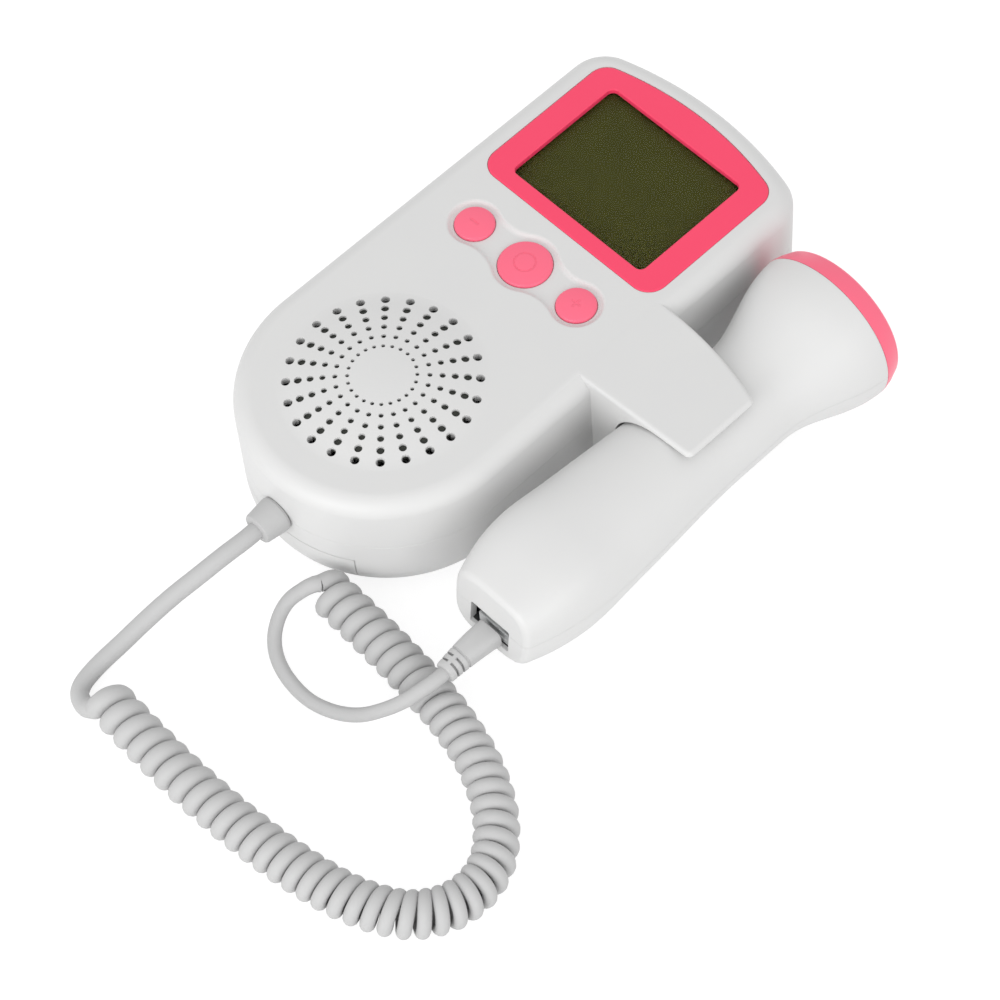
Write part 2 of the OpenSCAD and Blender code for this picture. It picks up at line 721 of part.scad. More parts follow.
// The first and the last leg stay straight
function smooth(p, s) = [for (i = [0:len(p) - 1]) each (i == 0 || i > len(p) - 3 ? [p[i]]
    : [for (k = [0:s - 1]) spline(p, i, k / s)])];

module lead(route, d) {
    p = smooth(route, 2);
    color(cord_grey) on_unit() tube(p, [for (q = p) [0, 0, 1]], d, 8);
}

case_floor_z = case_cord_d / 2 + 0.05;
floor_z = cord_d / 2 + 0.05;
boot_end = [probe_x, tail_y - boot_l, 14.1];

// Heading of the curls' middle line, by distance from the first curl
curl_heads = [[0, -4], [12, -3], [26, 0], [40, 3], [54, 7], [68, 13], [82, 30], [90, 55],
    [112, 129], [122, 146], [137, 164], [152, 173], [172, 177], [192, 178]];
curl_mid_start = [2.8, -87.9];
function curl_ahead(s) = let (a = lookup(s, curl_heads)) [cos(a), sin(a)];
curl_line = [for (s = 0, p = curl_mid_start; s < 202; p = p + curl_ahead(s + 0.5), s = s + 1) p];
function curl_mid(s) = let (i = floor(s)) curl_line[i] + (s - i) * (curl_line[i + 1] - curl_line[i]);
curl_steps = 8;
curl_r = (curl_d - curl_wire_d) / 2;
curl_axis_z = curl_d / 2 + 0.05;
function curl_ref(i) = let (h = curl_ahead(curl_pitch * i / curl_steps), a = 180 - 360 * i / curl_steps)
    [-h.y * cos(a), h.x * cos(a), sin(a)];
function curl_point(i) = let (m = curl_mid(curl_pitch * i / curl_steps))
    [m.x, m.y, curl_axis_z] + curl_r * curl_ref(i);
curl_n = curls * curl_steps + curl_steps / 4;
// The wire runs in straight along the floor and lifts into the first curl
curl_start = [curl_mid_start.x - 3.4, curl_mid_start.y - curl_r + 0.5, case_floor_z];
curl_entry = [for (p = [[0, 0, 0], [curl_wire_d, 0, 0], [3.2, -0.2, 1.1], [3.5, -0.35, 2.3]]) curl_start + p];
curl_exit = [for (k = [1:2]) curl_point(curl_n) + k * curl_wire_d / 2
    * unit([-curl_pitch, -2 * PI * curl_r, 0])];
curl_points = concat(curl_entry, [for (i = [0:curl_n]) curl_point(i)], curl_exit);
curl_refs = concat([for (p = curl_entry) [0, -1, 0]], [for (i = [0:curl_n]) curl_ref(i)],
    [for (p = curl_exit) [0, 0, 1]]);
curl_end = curl_points[len(curl_points) - 1];
curl_gap = min([for (i = [0:len(curl_points) - 12], k = [5:11]) norm(curl_points[i + k] - curl_points[i])])
    - curl_wire_d;
echo(least_gap_between_curls = curl_gap, number_of_curls = curl_n / curl_steps, curl_end = curl_end);

// Route of the straight lead, from the collar down to the first curl
lead_body_route = [[0, collar_y, seam_h], [0, -43.5, seam_h], [-0.8, -49, 16.4], [-2.2, -55.5, 14],
    [-4.2, -62.5, 10.6], [-5.8, -69.5, 7], [-6.8, -76, 4], [-7.2, -81.5, 2.6],
    [-7.3, -86, case_floor_z], [-6.8, -89.2, case_floor_z],
    [curl_start.x - case_cord_d, curl_start.y, case_floor_z], curl_start];

// Route of the looped lead, from the last curl over the curls to the boot
lead_probe_route = [curl_end, curl_end + cord_d * unit([-curl_pitch, -2 * PI * curl_r, 0]),
    [16.1, -45.2, 7.8], [16.2, -49, 5.6], [18.2, -52.2, 3.7], [22.2, -54.3, 2.3], [27.3, -55.4, floor_z],
    [33.5, -55.3, 1.9], [39.4, -54.2, 3.2], [44.8, -52.2, 5.4], [49, -49.2, 8.6], [52.4, -45.8, 11.8],
    [probe_x, -42.4, boot_end.z], boot_end];

module strand() {
    tube(curl_points, curl_refs, curl_wire_d, 6);
}

module cord_lead_body() lead(lead_body_route, case_cord_d);

module cord_coil() color(cord_grey) on_unit() strand();

module cord_lead_probe() lead(lead_probe_route, cord_d);

// Rounded box section of the plug's boot
function section(y, w, h, z, e, n) = [for (k = [0:n - 1]) let (a = 360 * k / n)
    [w / 2 * sign(cos(a)) * pow(abs(cos(a)), 2 / e), y, z + h / 2 * sign(sin(a)) * pow(abs(sin(a)), 2 / e)]];

plug_z = -plug_drop;
boot_drop = probe_z + plug_z - boot_end.z;
function boot_ring(f, groove) = let (g = pow(f, 1.2))
    section(tail_y + 1.5 - (boot_l + 1.5) * f, boot_w + (boot_d - boot_w) * g - groove,
        plug_h + (boot_d - plug_h) * g - groove, plug_z - boot_drop * f * f, 4 - 2 * f, 24);

module plug_boot() {
    grooves = [for (k = [0:2]) let (f = 0.72 + 0.08 * k) each
        [boot_ring(f, 0), boot_ring(f + 0.006, 1), boot_ring(f + 0.028, 1), boot_ring(f + 0.034, 0)]];
    color(cord_grey) on_probe() loft(concat([for (f = [0:0.14:0.7]) boot_ring(f, 0)], grooves,
        [boot_ring(1, 0)]));
}

plug_start = tail_y + 1.5;
plug_top = plug_z + plug_h / 2 - 1;
module plug_body() {
    color("#D5D8D6", 0.7) on_probe() difference() {
        mid_box(plug_w, plug_start, plug_l, plug_z - plug_h / 2, plug_h - 1);
        for (k = [-3.5:1:3.5]) translate([k, 0, 0])
            mid_box(0.5, plug_start + plug_l - 4, 5, plug_z - plug_h / 2 - 1, 2);
    }
}

// Springy latch that rises from the plug's front end to the socket's mouth
module plug_latch() {
    front = plug_start + plug_l - 0.5;
    color("#D5D8D6", 0.7) on_probe() translate([-2.2, 0, 0]) rotate([90, 0, 90]) linear_extrude(4.4)
        polygon([[front, plug_top], [front, plug_top + 0.8], [plug_start - 0.9, plug_top + 1.9],
            [plug_start - 0.9, plug_top + 1.2], [front - 3, plug_top]]);
}

// Handle and bell: radius, squareness and flatness along the probe
face_r = bell_r - face_rim;
function ease(a, b, t) = a + (b - a) * (1 - cos(180 * min(max(t, 0), 1))) / 2;
bell_span = (band_y - bell_y) * 1.03;
function handle_r(y) = y < palm_y ? palm_r - (palm_r - tail_r) * pow((palm_y - y) / (palm_y - tail_y), 2)
    : y < neck_y ? ease(palm_r, neck_r, (y - palm_y) / (neck_y - palm_y))
    : ease(neck_r, bell_r, (y - bell_y) / bell_span);
function flat_at(y) = y < bell_y ? ease(tail_flat, handle_flat, (y - tail_y) / 26)
    : ease(handle_flat, 1, (y - bell_y) / 20);
function lean_at(y) = tail_lean * max(0, 1 - (y - tail_y) / 12);
function square_at(y) = ease(3.6, 2, (y - tail_y) / 34);
// Half of a section: s is 1 for the upper shell and -1 for the lower one
function half_section(y, d, s) = let (w = handle_r(y) - d, h = handle_r(y) * flat_at(y) - d, e = square_at(y))
    [for (k = [0:shell_n]) let (a = 180 * k / shell_n, c = cos(a), z = s * h * pow(sin(a), 2 / e))
    [w * sign(c) * pow(abs(c), 2 / e), y + lean_at(y) * z, z]];
shell_n = 16;
step_l = 2.2;
step_wall = 1.2;
shell_inside = tail_y + probe_wall;
handle_steps = [for (y = [4, 8, 13, 19, 26, 33, 40, 48, 56, 64, 73]) tail_y + y];
bell_steps = [for (k = [0:6]) bell_y + (band_y - bell_y - step_l - 0.3) * k / 6];
function wall_at(y) = y > band_y - step_l - 0.1 ? step_wall : probe_wall;

// One shell: a wall of even thickness that thins where the band's spigot goes in
module probe_shell(s) {
    stations = concat([tail_y, shell_inside], handle_steps, bell_steps, [band_y - step_l, band_y]);
    loft([for (y = stations) concat(half_section(y, 0, s), mirrored(half_section(y, wall_at(y), s)))],
        -s, true);
    // End wall, and ribs that hold the board
    loft([for (y = [tail_y + fit / 2, shell_inside]) half_section(y, probe_wall / 2, s)], -s);
    for (y = board_ribs) {
        r = handle_r(y) - probe_wall / 2;
        mid_box(2 * r, y, 1.5, s > 0 ? board_t / 2 + fit / 2 : -board_t / 2 - fit / 2 - 2.6, 2.6);
    }
}

jack_y = tail_y + probe_wall + 0.4;
jack_l = plug_l + 1.4;
board_ribs = [14, 40];
function mirrored(v) = [for (i = [len(v) - 1:-1:0]) v[i]];

module socket_mouth() {
    mid_box(plug_w + 2 * plug_gap, tail_y - 2, 6, plug_z - plug_h / 2 - plug_gap, plug_h + 2 * plug_gap + latch_room);
}

module probe_upper_shell() {
    color(white_abs) on_probe() difference() {
        probe_shell(1);
        socket_mouth();
    }
}

module probe_lower_shell() {
    color(white_abs) on_probe() difference() {
        probe_shell(-1);
        socket_mouth();
    }
}

module probe_ring() {
    r = bell_r;
    f = band_round;
    spigot = (handle_r(band_y - step_l) - step_wall) * cos(90 / shell_n) - fit;
    color(pink_abs) on_probe() translate([0, band_y, 0]) rotate([-90, 0, 0]) rotate_extrude() difference() {
        union() {
            translate([0, fit - step_l]) square([spigot, step_l]);
            intersection() {
                polygon([[0, 0], [r, 0], [r - band_taper, band_w], [0, band_w]]);
                union() {
                    square([r, band_w - f]);
                    square([r - band_taper - f, band_w]);
                    translate([r - band_taper - f, band_w - f]) circle(r = f, $fn = 48);
                }
            }
        }
        translate([-1, -3]) square([face_r + fit + 1, 20]);
    }
}

module probe_face() {
    dome_ball = (pow(face_r, 2) + pow(face_dome, 2)) / (2 * face_dome);
    color("#E9E4E2") on_probe() translate([0, band_y, 0]) rotate([-90, 0, 0]) {
        rotate_extrude() intersection() {
            translate([0, -1]) square([face_r, band_w + face_dome + 1]);
            translate([0, band_w + face_dome - 0.3 - dome_ball]) circle(r = dome_ball, $fn = 200);
        }
    }
}

module transducer_holder() {
    color("white") on_probe() {
        difference() {
            along_y(band_y - 6, 6 - 1 - fit, face_r - 0.5);
            along_y(band_y - 4.2, 4, face_r - 2);
        }
    }
}

// Two half discs, one that sends and one that listens
module transducer_elements() {
    color("#C9A86A") on_probe() for (s = [-1, 1]) intersection() {
        along_y(band_y - 1 - fit - 1.2, 1.2, face_r - 5);
        translate([s > 0 ? 0.4 : -20.4, 0, -20]) cube([20, 200, 40]);
    }
}

module probe_board() {
    color(board_green) on_probe() {
        mid_box(probe_board_w, jack_y + jack_l + fit, probe_board_l, -board_t / 2, board_t);
        mid_box(7, 24, 9, board_t / 2 - eps, 1.5);
        mid_box(5, 44, 6, board_t / 2 - eps, 2);
    }
}

module probe_jack() {
    w = plug_w + 2 * plug_gap;
    h = plug_h + 2 * plug_gap + latch_room;
    low = plug_z - plug_h / 2 - plug_gap;
    color("#2B2B2B") on_probe() difference() {
        mid_box(w + 2 * jack_wall, jack_y, jack_l, low - jack_wall, h + 2 * jack_wall);
        mid_box(w, jack_y - 1, jack_l - 0.4, low, h);
    }
}

front_cover();
rear_cover();
battery_door();
display_bezel();
display_window();
display_panel();
display_frame();
zebra_strip();
main_board();
board_screws();
keypad_mat();
volume_down_button();
power_button();
volume_up_button();
speaker_frame();
speaker_cone();
speaker_magnet();
battery_left();
battery_right();
battery_contacts();
battery_springs();
case_screws();
strain_relief();
cord_lead_body();
cord_coil();
cord_lead_probe();
plug_boot();
plug_body();
plug_latch();
probe_upper_shell();
probe_lower_shell();
probe_ring();
probe_face();
transducer_holder();
transducer_elements();
probe_board();
probe_jack();
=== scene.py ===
"""Hand-held fetal heart monitor with its clipped probe and curly lead, dressed for rendering.

Every shape is drawn in millimetres in the case's own frame: X is 0 on the case's middle line, Y is 0 at the
middle of the loudspeaker and Z is 0 on the table. Piece.done() moves it to the frame of the part, in metres.
"""

import logging
import math
from dataclasses import dataclass, field
from enum import Enum
from typing import Callable, Iterable, Sequence

import bmesh
import bpy
from mathutils import Matrix, Vector


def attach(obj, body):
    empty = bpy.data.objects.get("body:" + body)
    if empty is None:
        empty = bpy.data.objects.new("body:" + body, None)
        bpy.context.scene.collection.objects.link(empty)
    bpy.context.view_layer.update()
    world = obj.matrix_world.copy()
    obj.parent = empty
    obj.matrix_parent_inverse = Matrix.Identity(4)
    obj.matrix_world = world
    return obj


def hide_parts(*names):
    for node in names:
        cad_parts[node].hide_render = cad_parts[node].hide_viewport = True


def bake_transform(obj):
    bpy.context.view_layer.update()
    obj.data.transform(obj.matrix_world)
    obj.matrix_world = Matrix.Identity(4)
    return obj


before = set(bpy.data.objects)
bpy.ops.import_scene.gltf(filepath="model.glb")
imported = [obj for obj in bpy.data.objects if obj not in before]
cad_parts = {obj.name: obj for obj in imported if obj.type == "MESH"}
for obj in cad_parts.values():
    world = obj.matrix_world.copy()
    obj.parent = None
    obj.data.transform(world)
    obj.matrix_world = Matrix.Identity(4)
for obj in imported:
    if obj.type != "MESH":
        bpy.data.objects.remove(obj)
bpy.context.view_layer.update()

LOG = logging.getLogger("monitor")
PairList = Sequence[tuple[float, float]]

# The part's origin in the case's frame, in millimetres like every size here
MID_X, MID_Y = 19.9, 35.95
# The probe's axis, and the plane where the covers part
PROBE_X, PROBE_Z, SEAM_Z = 54.1, 19.4, 17.4
# The buttons: their row, the step between them, and the diameters of the small ones and of the power button
KEY_Y, KEY_STEP, SMALL_KEY_D, POWER_KEY_D = 43.8, 16.2, 9.4, 12.6
# The socket's mouth in the probe's end, about the probe's axis
MOUTH_W, MOUTH_H, MOUTH_MID_Z = 11.6, 7.0, -2.5
# Points nearer than this are one point
NEAR = 1e-4


class Carrier(Enum):
    """The moving bodies that pieces ride on."""

    UNIT = "unit"
    VOLUME_DOWN = "volume_down"
    POWER = "power"
    VOLUME_UP = "volume_up"
    DOOR = "door"
    PROBE = "probe"


class Slot(Enum):
    """The record's material slots that the drawn pieces take."""

    CASE = "case"
    PINK_TRIM = "pink_trim"
    PINK_KEYS = "pink_keys"
    CORD = "cord"
    CONE = "cone"
    PLUG = "plug"
    FACE = "face"


class Cut(Enum):
    """How one solid changes another."""

    ADD = "UNION"
    TAKE = "DIFFERENCE"
    KEEP = "INTERSECT"


class Symbol(Enum):
    """The sign on a push button."""

    MINUS = "minus"
    RING = "ring"
    PLUS = "plus"


# ---------------------------------------------------------------- shapes


def row_point(x: float, y: float, z: float) -> Vector:
    """Returns a point of the case's frame, in millimetres, as metres in the part's frame."""
    return Vector((x - MID_X, y - MID_Y, z)) / 1000


def lookup(at: float, table: PairList) -> float:
    """Reads a table of (place, value) pairs, straight between its entries.

    Args:
        at: the place to read.
        table: pairs in rising order of place.

    Returns:
        The value there, held level beyond both ends.
    """
    if at <= table[0][0]:
        return table[0][1]
    for (a, low), (b, high) in zip(table, table[1:]):
        if at <= b:
            return low + (high - low) * (at - a) / (b - a)
    return table[-1][1]


def put(name: str, data: bpy.types.ID) -> bpy.types.Object:
    """Returns a new object for the data, linked to the scene."""
    obj = bpy.data.objects.new(name, data)
    bpy.context.scene.collection.objects.link(obj)
    return obj


def oval(half_w: float, half_h: float, power: float, points: int) -> list[tuple[float, float]]:
    """Draws a section between a rounded box and an ellipse.

    Args:
        half_w: half its width.
        half_h: half its height.
        power: 1 for an ellipse, less for squarer corners.
        points: the number of points.

    Returns:
        Its (x, z) points, anticlockwise.
    """
    made = []
    for k in range(points):
        a = math.tau * k / points
        c, s = math.cos(a), math.sin(a)
        made.append((half_w * math.copysign(abs(c) ** power, c), half_h * math.copysign(abs(s) ** power, s)))
    return made


@dataclass(frozen=True)
class Arc:
    """One arc of an outline, or a plain corner where the radius is 0."""

    x: float
    y: float
    radius: float = 0.0
    start: float = 0.0
    end: float = 0.0
    steps: int = 0

    def draw(self, shape: bmesh.types.BMesh, z: float) -> tuple[bmesh.types.BMVert, bmesh.types.BMVert]:
        """Spins the arc into a mesh.

        Args:
            shape: the mesh that takes it.
            z: its height.

        Returns:
            The first and the last vertex.
        """
        turn = math.radians(self.start)
        at = (self.x + self.radius * math.cos(turn), self.y + self.radius * math.sin(turn), z)
        first = shape.verts.new(at)
        if not self.steps:
            return first, first
        spun = bmesh.ops.spin(
            shape, geom=[first], cent=(self.x, self.y, z), axis=(0, 0, 1), dvec=(0, 0, 0),
            angle=math.radians(self.end - self.start), steps=self.steps, use_duplicate=False)
        last = next(v for v in spun["geom_last"] if isinstance(v, bmesh.types.BMVert))
        return first, last


class Solid:
    """A closed shape in millimetres, which other solids are added to or cut from."""

    def __init__(self, shape: bmesh.types.BMesh) -> None:
        """Takes over a mesh, with its doubles merged and its faces turned outwards."""
        bmesh.ops.remove_doubles(shape, verts=shape.verts[:], dist=NEAR)
        bmesh.ops.recalc_face_normals(shape, faces=shape.faces[:])
        mesh = bpy.data.meshes.new("solid")
        shape.to_mesh(mesh)
        shape.free()
        self.obj = put("solid", mesh)

    def _combine(self, other: "Solid", how: Cut) -> "Solid":
        """Changes this solid by another, which is used up.

        Args:
            other: the second solid.
            how: whether it is added, taken away, or the common space is kept.

        Returns:
            This solid.
        """
        for solver in ("MANIFOLD", "EXACT"):
            step = self.obj.modifiers.new("combine", "BOOLEAN")
            step.operation, step.object, step.solver = how.value, other.obj, solver
            whole = self.obj.evaluated_get(bpy.context.evaluated_depsgraph_get())
            made = bpy.data.meshes.new_from_object(whole)
            self.obj.modifiers.clear()
            if len(made.polygons) and (solver == "EXACT" or len(made.polygons) != len(self.obj.data.polygons)):
                break
            LOG.info("a %s needed the exact way", how.name)
        old, self.obj.data = self.obj.data, made
        bpy.data.meshes.remove(old)
        other.discard()
        return self

    def add(self, *others: "Solid") -> "Solid":
        """Joins other solids to this one."""
        for other in others:
            self._combine(other, Cut.ADD)
        return self

    def take(self, *others: "Solid") -> "Solid":
        """Cuts other solids out of this one."""
        for other in others:
            self._combine(other, Cut.TAKE)
        return self

    def keep(self, other: "Solid") -> "Solid":
        """Keeps what this solid shares with another."""
        return self._combine(other, Cut.KEEP)

    def also(self, other: "Solid") -> "Solid":
        """Lays a solid that stays clear of this one into the same mesh."""
        shape = bmesh.new()
        shape.from_mesh(self.obj.data)
        shape.from_mesh(other.obj.data)
        shape.to_mesh(self.obj.data)
        shape.free()
        other.discard()
        return self

    def copy(self) -> "Solid":
        """Returns a second solid of the same shape."""
        shape = bmesh.new()
        shape.from_mesh(self.obj.data)
        return Solid(shape)

    def moved(self, x: float = 0, y: float = 0, z: float = 0, turn: Matrix | None = None) -> "Solid":
        """Turns and then shifts the solid, and returns it."""
        self.obj.data.transform(Matrix.Translation((x, y, z)) @ (turn or Matrix.Identity(4)))
        return self

    def soften(self, width: float, segments: int, where: Callable[[Vector], bool], least: float = 25) -> "Solid":
        """Rounds the sharp edges that a rule picks.

        Args:
            width: how far the rounding reaches from the edge.
            segments: its number of steps.
            where: takes the middle of an edge and says whether it is rounded.
            least: the smallest angle of an edge that counts as sharp, in degrees.

        Returns:
            This solid.
        """
        shape = bmesh.new()
        shape.from_mesh(self.obj.data)
        edges = [
            e for e in shape.edges
            if e.is_manifold and e.calc_face_angle() > math.radians(least)
            and where((e.verts[0].co + e.verts[1].co) / 2)]
        bmesh.ops.bevel(shape, geom=edges, offset=width, segments=segments, profile=0.5,
                        affect="EDGES", material=-1, clamp_overlap=True)
        shape.to_mesh(self.obj.data)
        shape.free()
        return self

    def discard(self) -> None:
        """Removes the solid."""
        mesh = self.obj.data
        bpy.data.objects.remove(self.obj)
        bpy.data.meshes.remove(mesh)


def block(low: Sequence[float], size: Sequence[float]) -> Solid:
    """Returns a box from its lowest corner and its size."""
    shape = bmesh.new()
    bmesh.ops.create_cube(shape, size=1)
    bmesh.ops.scale(shape, vec=size, verts=shape.verts[:])
    bmesh.ops.translate(shape, vec=[a + b / 2 for a, b in zip(low, size)], verts=shape.verts[:])
    return Solid(shape)


def mid_block(width: float, y: float, length: float, z: float, height: float) -> Solid:
    """Returns a box that is centred on the case's middle line."""
    return block((-width / 2, y, z), (width, length, height))


def drum(x: float, y: float, z: float, radius: float, height: float, steps: int = 48) -> Solid:
    """Returns an upright cylinder from the middle of its lower face."""
    shape = bmesh.new()
    bmesh.ops.create_cone(shape, cap_ends=True, segments=steps, radius1=radius, radius2=radius, depth=height)
    bmesh.ops.translate(shape, vec=(x, y, z + height / 2), verts=shape.verts[:])
    return Solid(shape)


def rod(x: float, y: float, z: float, radius: float, length: float, steps: int = 96) -> Solid:
    """Returns a cylinder that runs along Y from the middle of its near face."""
    return drum(0, 0, 0, radius, length, steps).moved(x, y, z, Matrix.Rotation(math.radians(-90), 4, "X"))


def plate(arcs: Iterable[Arc], z: float, height: float, rim: float = 0, foot: float = 0, steps: int = 10) -> Solid:
    """Makes an upright solid from an outline of arcs.

    Args:
        arcs: the outline, anticlockwise.
        z: the lower face.
        height: the thickness.
        rim: the rounding round the upper face.
        foot: the rounding round the lower face.
        steps: the number of steps of each rounding.

    Returns:
        The solid.
    """
    shape = bmesh.new()
    ends = [arc.draw(shape, z) for arc in arcs]
    for (_, last), (first, _) in zip(ends, ends[1:] + ends[:1]):
        if (last.co - first.co).length > NEAR:
            shape.edges.new((last, first))
    bmesh.ops.remove_doubles(shape, verts=shape.verts[:], dist=NEAR)
    face = bmesh.ops.edgeloop_fill(shape, edges=shape.edges[:])["faces"]
    made = bmesh.ops.extrude_face_region(shape, geom=face)
    raised = [v for v in made["geom"] if isinstance(v, bmesh.types.BMVert)]
    bmesh.ops.translate(shape, vec=(0, 0, height), verts=raised)
    for width, level in ((rim, z + height), (foot, z)):
        if width:
            edges = [e for e in shape.edges if all(abs(v.co.z - level) < NEAR for v in e.verts)]
            bmesh.ops.bevel(shape, geom=edges, offset=width, segments=steps, profile=0.5,
                            affect="EDGES", material=-1, clamp_overlap=False)
    return Solid(shape)


def turned(profile: PairList, steps: int = 96) -> Solid:
    """Spins a half section about Z.

    Args:
        profile: (radius, height) pairs that start and end on the axis, or run round to their start.
        steps: the number of steps round.

    Returns:
        The solid.
    """
    shape = bmesh.new()
    points = [shape.verts.new((r, 0, z)) for r, z in profile]
    for a, b in zip(points, points[1:]):
        shape.edges.new((a, b))
    if profile[0][0] > 0 and profile[-1][0] > 0:
        shape.edges.new((points[-1], points[0]))
    bmesh.ops.spin(shape, geom=shape.verts[:] + shape.edges[:], cent=(0, 0, 0), axis=(0, 0, 1), dvec=(0, 0, 0),
                   angle=math.tau, steps=steps, use_merge=True, use_duplicate=False)
    return Solid(shape)


def along_y(solid: Solid, y: float = 0) -> Solid:
    """Lays a turned solid down, so that its height runs along Y."""
    return solid.moved(0, y, 0, Matrix.Rotation(math.radians(-90), 4, "X"))


def lofted(rings: Sequence[Sequence[Vector]]) -> Solid:
    """Bridges rings of the same number of points into a closed form with flat ends.

    Args:
        rings: the points of each ring, all in the same order.

    Returns:
        The solid.
    """
    shape = bmesh.new()
    loops = []
    for ring in rings:
        made = bmesh.ops.create_circle(shape, segments=len(ring), radius=1)["verts"]
        for vert, place in zip(made, ring):
            vert.co = place
        loops.append([e for e in shape.edges if e.verts[0] in set(made) and e.verts[1] in set(made)])
    for low, high in zip(loops, loops[1:]):
        bmesh.ops.bridge_loops(shape, edges=low + high)
    for loop in (loops[0], loops[-1]):
        bmesh.ops.edgeloop_fill(shape, edges=loop)
    return Solid(shape)


def corner_box(x: float, y: float, width: float, length: float, radius: float, steps: int = 8) -> list[Arc]:
    """Returns the outline of a rectangle with rounded corners, centred on (x, y)."""
    w, h = width / 2 - radius, length / 2 - radius
    return [Arc(x + a * w, y + b * h, radius, turn, turn + 90, steps)
            for a, b, turn in ((1, 1, 0), (-1, 1, 90), (-1, -1, 180), (1, -1, 270))]


# ---------------------------------------------------------------- finishes


def linear(code: str) -> tuple[float, float, float, float]:
    """Turns an sRGB colour such as "#E6E6E5" into the linear RGBA that a shader takes."""
    parts = [int(code[i:i + 2], 16) / 255 for i in (1, 3, 5)]
    return (*(c / 12.92 if c <= 0.04045 else ((c + 0.055) / 1.055) ** 2.4 for c in parts), 1.0)


def add_node(tree: bpy.types.NodeTree, kind: str, settings: dict | None = None,
             links: dict | None = None) -> bpy.types.Node:
    """Adds a node with its settings and links.

    Args:
        tree: the node tree.
        kind: the node's type.
        settings: attributes by name, and socket values where the key is an input's name or number.
        links: input name or number to the output socket that feeds it.

    Returns:
        The node.
    """
    node = tree.nodes.new(kind)
    for key, value in (settings or {}).items():
        if isinstance(key, str) and hasattr(node, key):
            setattr(node, key, value)
        else:
            node.inputs[key].default_value = value
    for key, source in (links or {}).items():
        tree.links.new(source, node.inputs[key])
    return node


def per_metre(size_mm: float) -> float:
    """Returns a noise scale whose features are about this size, for Object coordinates in metres."""
    return 1000 / size_mm


def start_material(name: str) -> tuple[bpy.types.Material, bpy.types.NodeTree, bpy.types.Node,
                                       bpy.types.NodeSocket]:
    """Starts a material.

    Args:
        name: the material's name.

    Returns:
        The material, its node tree, its shader and the piece's own coordinates.
    """
    made = bpy.data.materials.new(name)
    made.use_nodes = True
    tree = made.node_tree
    at = add_node(tree, "ShaderNodeTexCoord").outputs["Object"]
    return made, tree, tree.nodes["Principled BSDF"], at


def two_tone(tree: bpy.types.NodeTree, factor: bpy.types.NodeSocket, places: Sequence[float],
             colours: Sequence[str]) -> bpy.types.NodeSocket:
    """Turns a factor into one of two colours.

    Args:
        tree: the node tree.
        factor: the output socket that chooses.
        places: the factor where the change starts, and where it ends.
        colours: the two colours.

    Returns:
        The colour's output socket.
    """
    ramp = add_node(tree, "ShaderNodeValToRGB", {}, {"Fac": factor})
    for stop, place, colour in zip(ramp.color_ramp.elements, places, colours):
        stop.position, stop.color = place, linear(colour)
    return ramp.outputs["Color"]


def seen_rays(tree: bpy.types.NodeTree) -> bpy.types.NodeSocket:
    """Returns a socket that is 1 for what is seen straight, in gloss or through clear pieces, and else 0."""
    rays = add_node(tree, "ShaderNodeLightPath").outputs
    seen = rays["Is Camera Ray"]
    for name in ("Is Glossy Ray", "Is Transmission Ray"):
        seen = add_node(tree, "ShaderNodeMath", {"operation": "MAXIMUM"}, {0: seen, 1: rays[name]}).outputs[0]
    return seen


@dataclass(frozen=True)
class MouldedPlastic:
    """A moulded plastic, with the fine texture of its tool and a slight unevenness of colour."""

    name: str
    colour: str
    shade: str
    roughness: float
    grain_mm: float = 0.35
    grain_height_mm: float = 0.006
    soft_edge_mm: float = 0.25
    specular: float = 0.5
    subsurface: float = 0.0
    cloud_mm: float = 14

    def make(self) -> bpy.types.Material:
        """Builds the material from noise on the piece's own coordinates."""
        made, tree, shader, at = start_material(self.name)
        cloud = add_node(tree, "ShaderNodeTexNoise", {"Scale": per_metre(self.cloud_mm), "Detail": 3.0}, {"Vector": at})
        mix = add_node(tree, "ShaderNodeMix", {"data_type": "RGBA", 6: linear(self.colour), 7: linear(self.shade)},
                       {0: cloud.outputs["Fac"]})
        grain = add_node(tree, "ShaderNodeTexNoise", {"Scale": per_metre(self.grain_mm), "Detail": 2.0},
                         {"Vector": at})
        worn = add_node(tree, "ShaderNodeMapRange",
                        {"To Min": self.roughness - 0.05, "To Max": self.roughness + 0.05},
                        {"Value": grain.outputs["Fac"]})
        edge = add_node(tree, "ShaderNodeBevel", {"samples": 6, "Radius": self.soft_edge_mm / 1000})
        bump = add_node(tree, "ShaderNodeBump", {"Strength": 0.35, "Distance": self.grain_height_mm / 1000},
                        {"Height": grain.outputs["Fac"], "Normal": edge.outputs["Normal"]})
        tree.links.new(mix.outputs[2], shader.inputs["Base Color"])
        tree.links.new(worn.outputs["Result"], shader.inputs["Roughness"])
        tree.links.new(bump.outputs["Normal"], shader.inputs["Normal"])
        shader.inputs["Specular IOR Level"].default_value = self.specular
        shader.inputs["Subsurface Weight"].default_value = self.subsurface
        shader.inputs["Subsurface Scale"].default_value = 0.0006
        return made


@dataclass(frozen=True)
class ClearPlastic:
    """A clear moulded plastic with faint flow marks."""

    name: str
    tint: str
    roughness: float
    transmission: float
    ior: float

    def make(self) -> bpy.types.Material:
        """Builds the material."""
        made, tree, shader, at = start_material(self.name)
        flow = add_node(tree, "ShaderNodeTexNoise", {"Scale": per_metre(9), "Detail": 1.0}, {"Vector": at})
        marks = add_node(tree, "ShaderNodeMapRange",
                         {"To Min": max(0.0, self.roughness - 0.02), "To Max": self.roughness + 0.02},
                         {"Value": flow.outputs["Fac"]})
        tree.links.new(marks.outputs["Result"], shader.inputs["Roughness"])
        shader.inputs["Base Color"].default_value = linear(self.tint)
        shader.inputs["IOR"].default_value = self.ior
        shader.inputs["Transmission Weight"].default_value = self.transmission
        return made


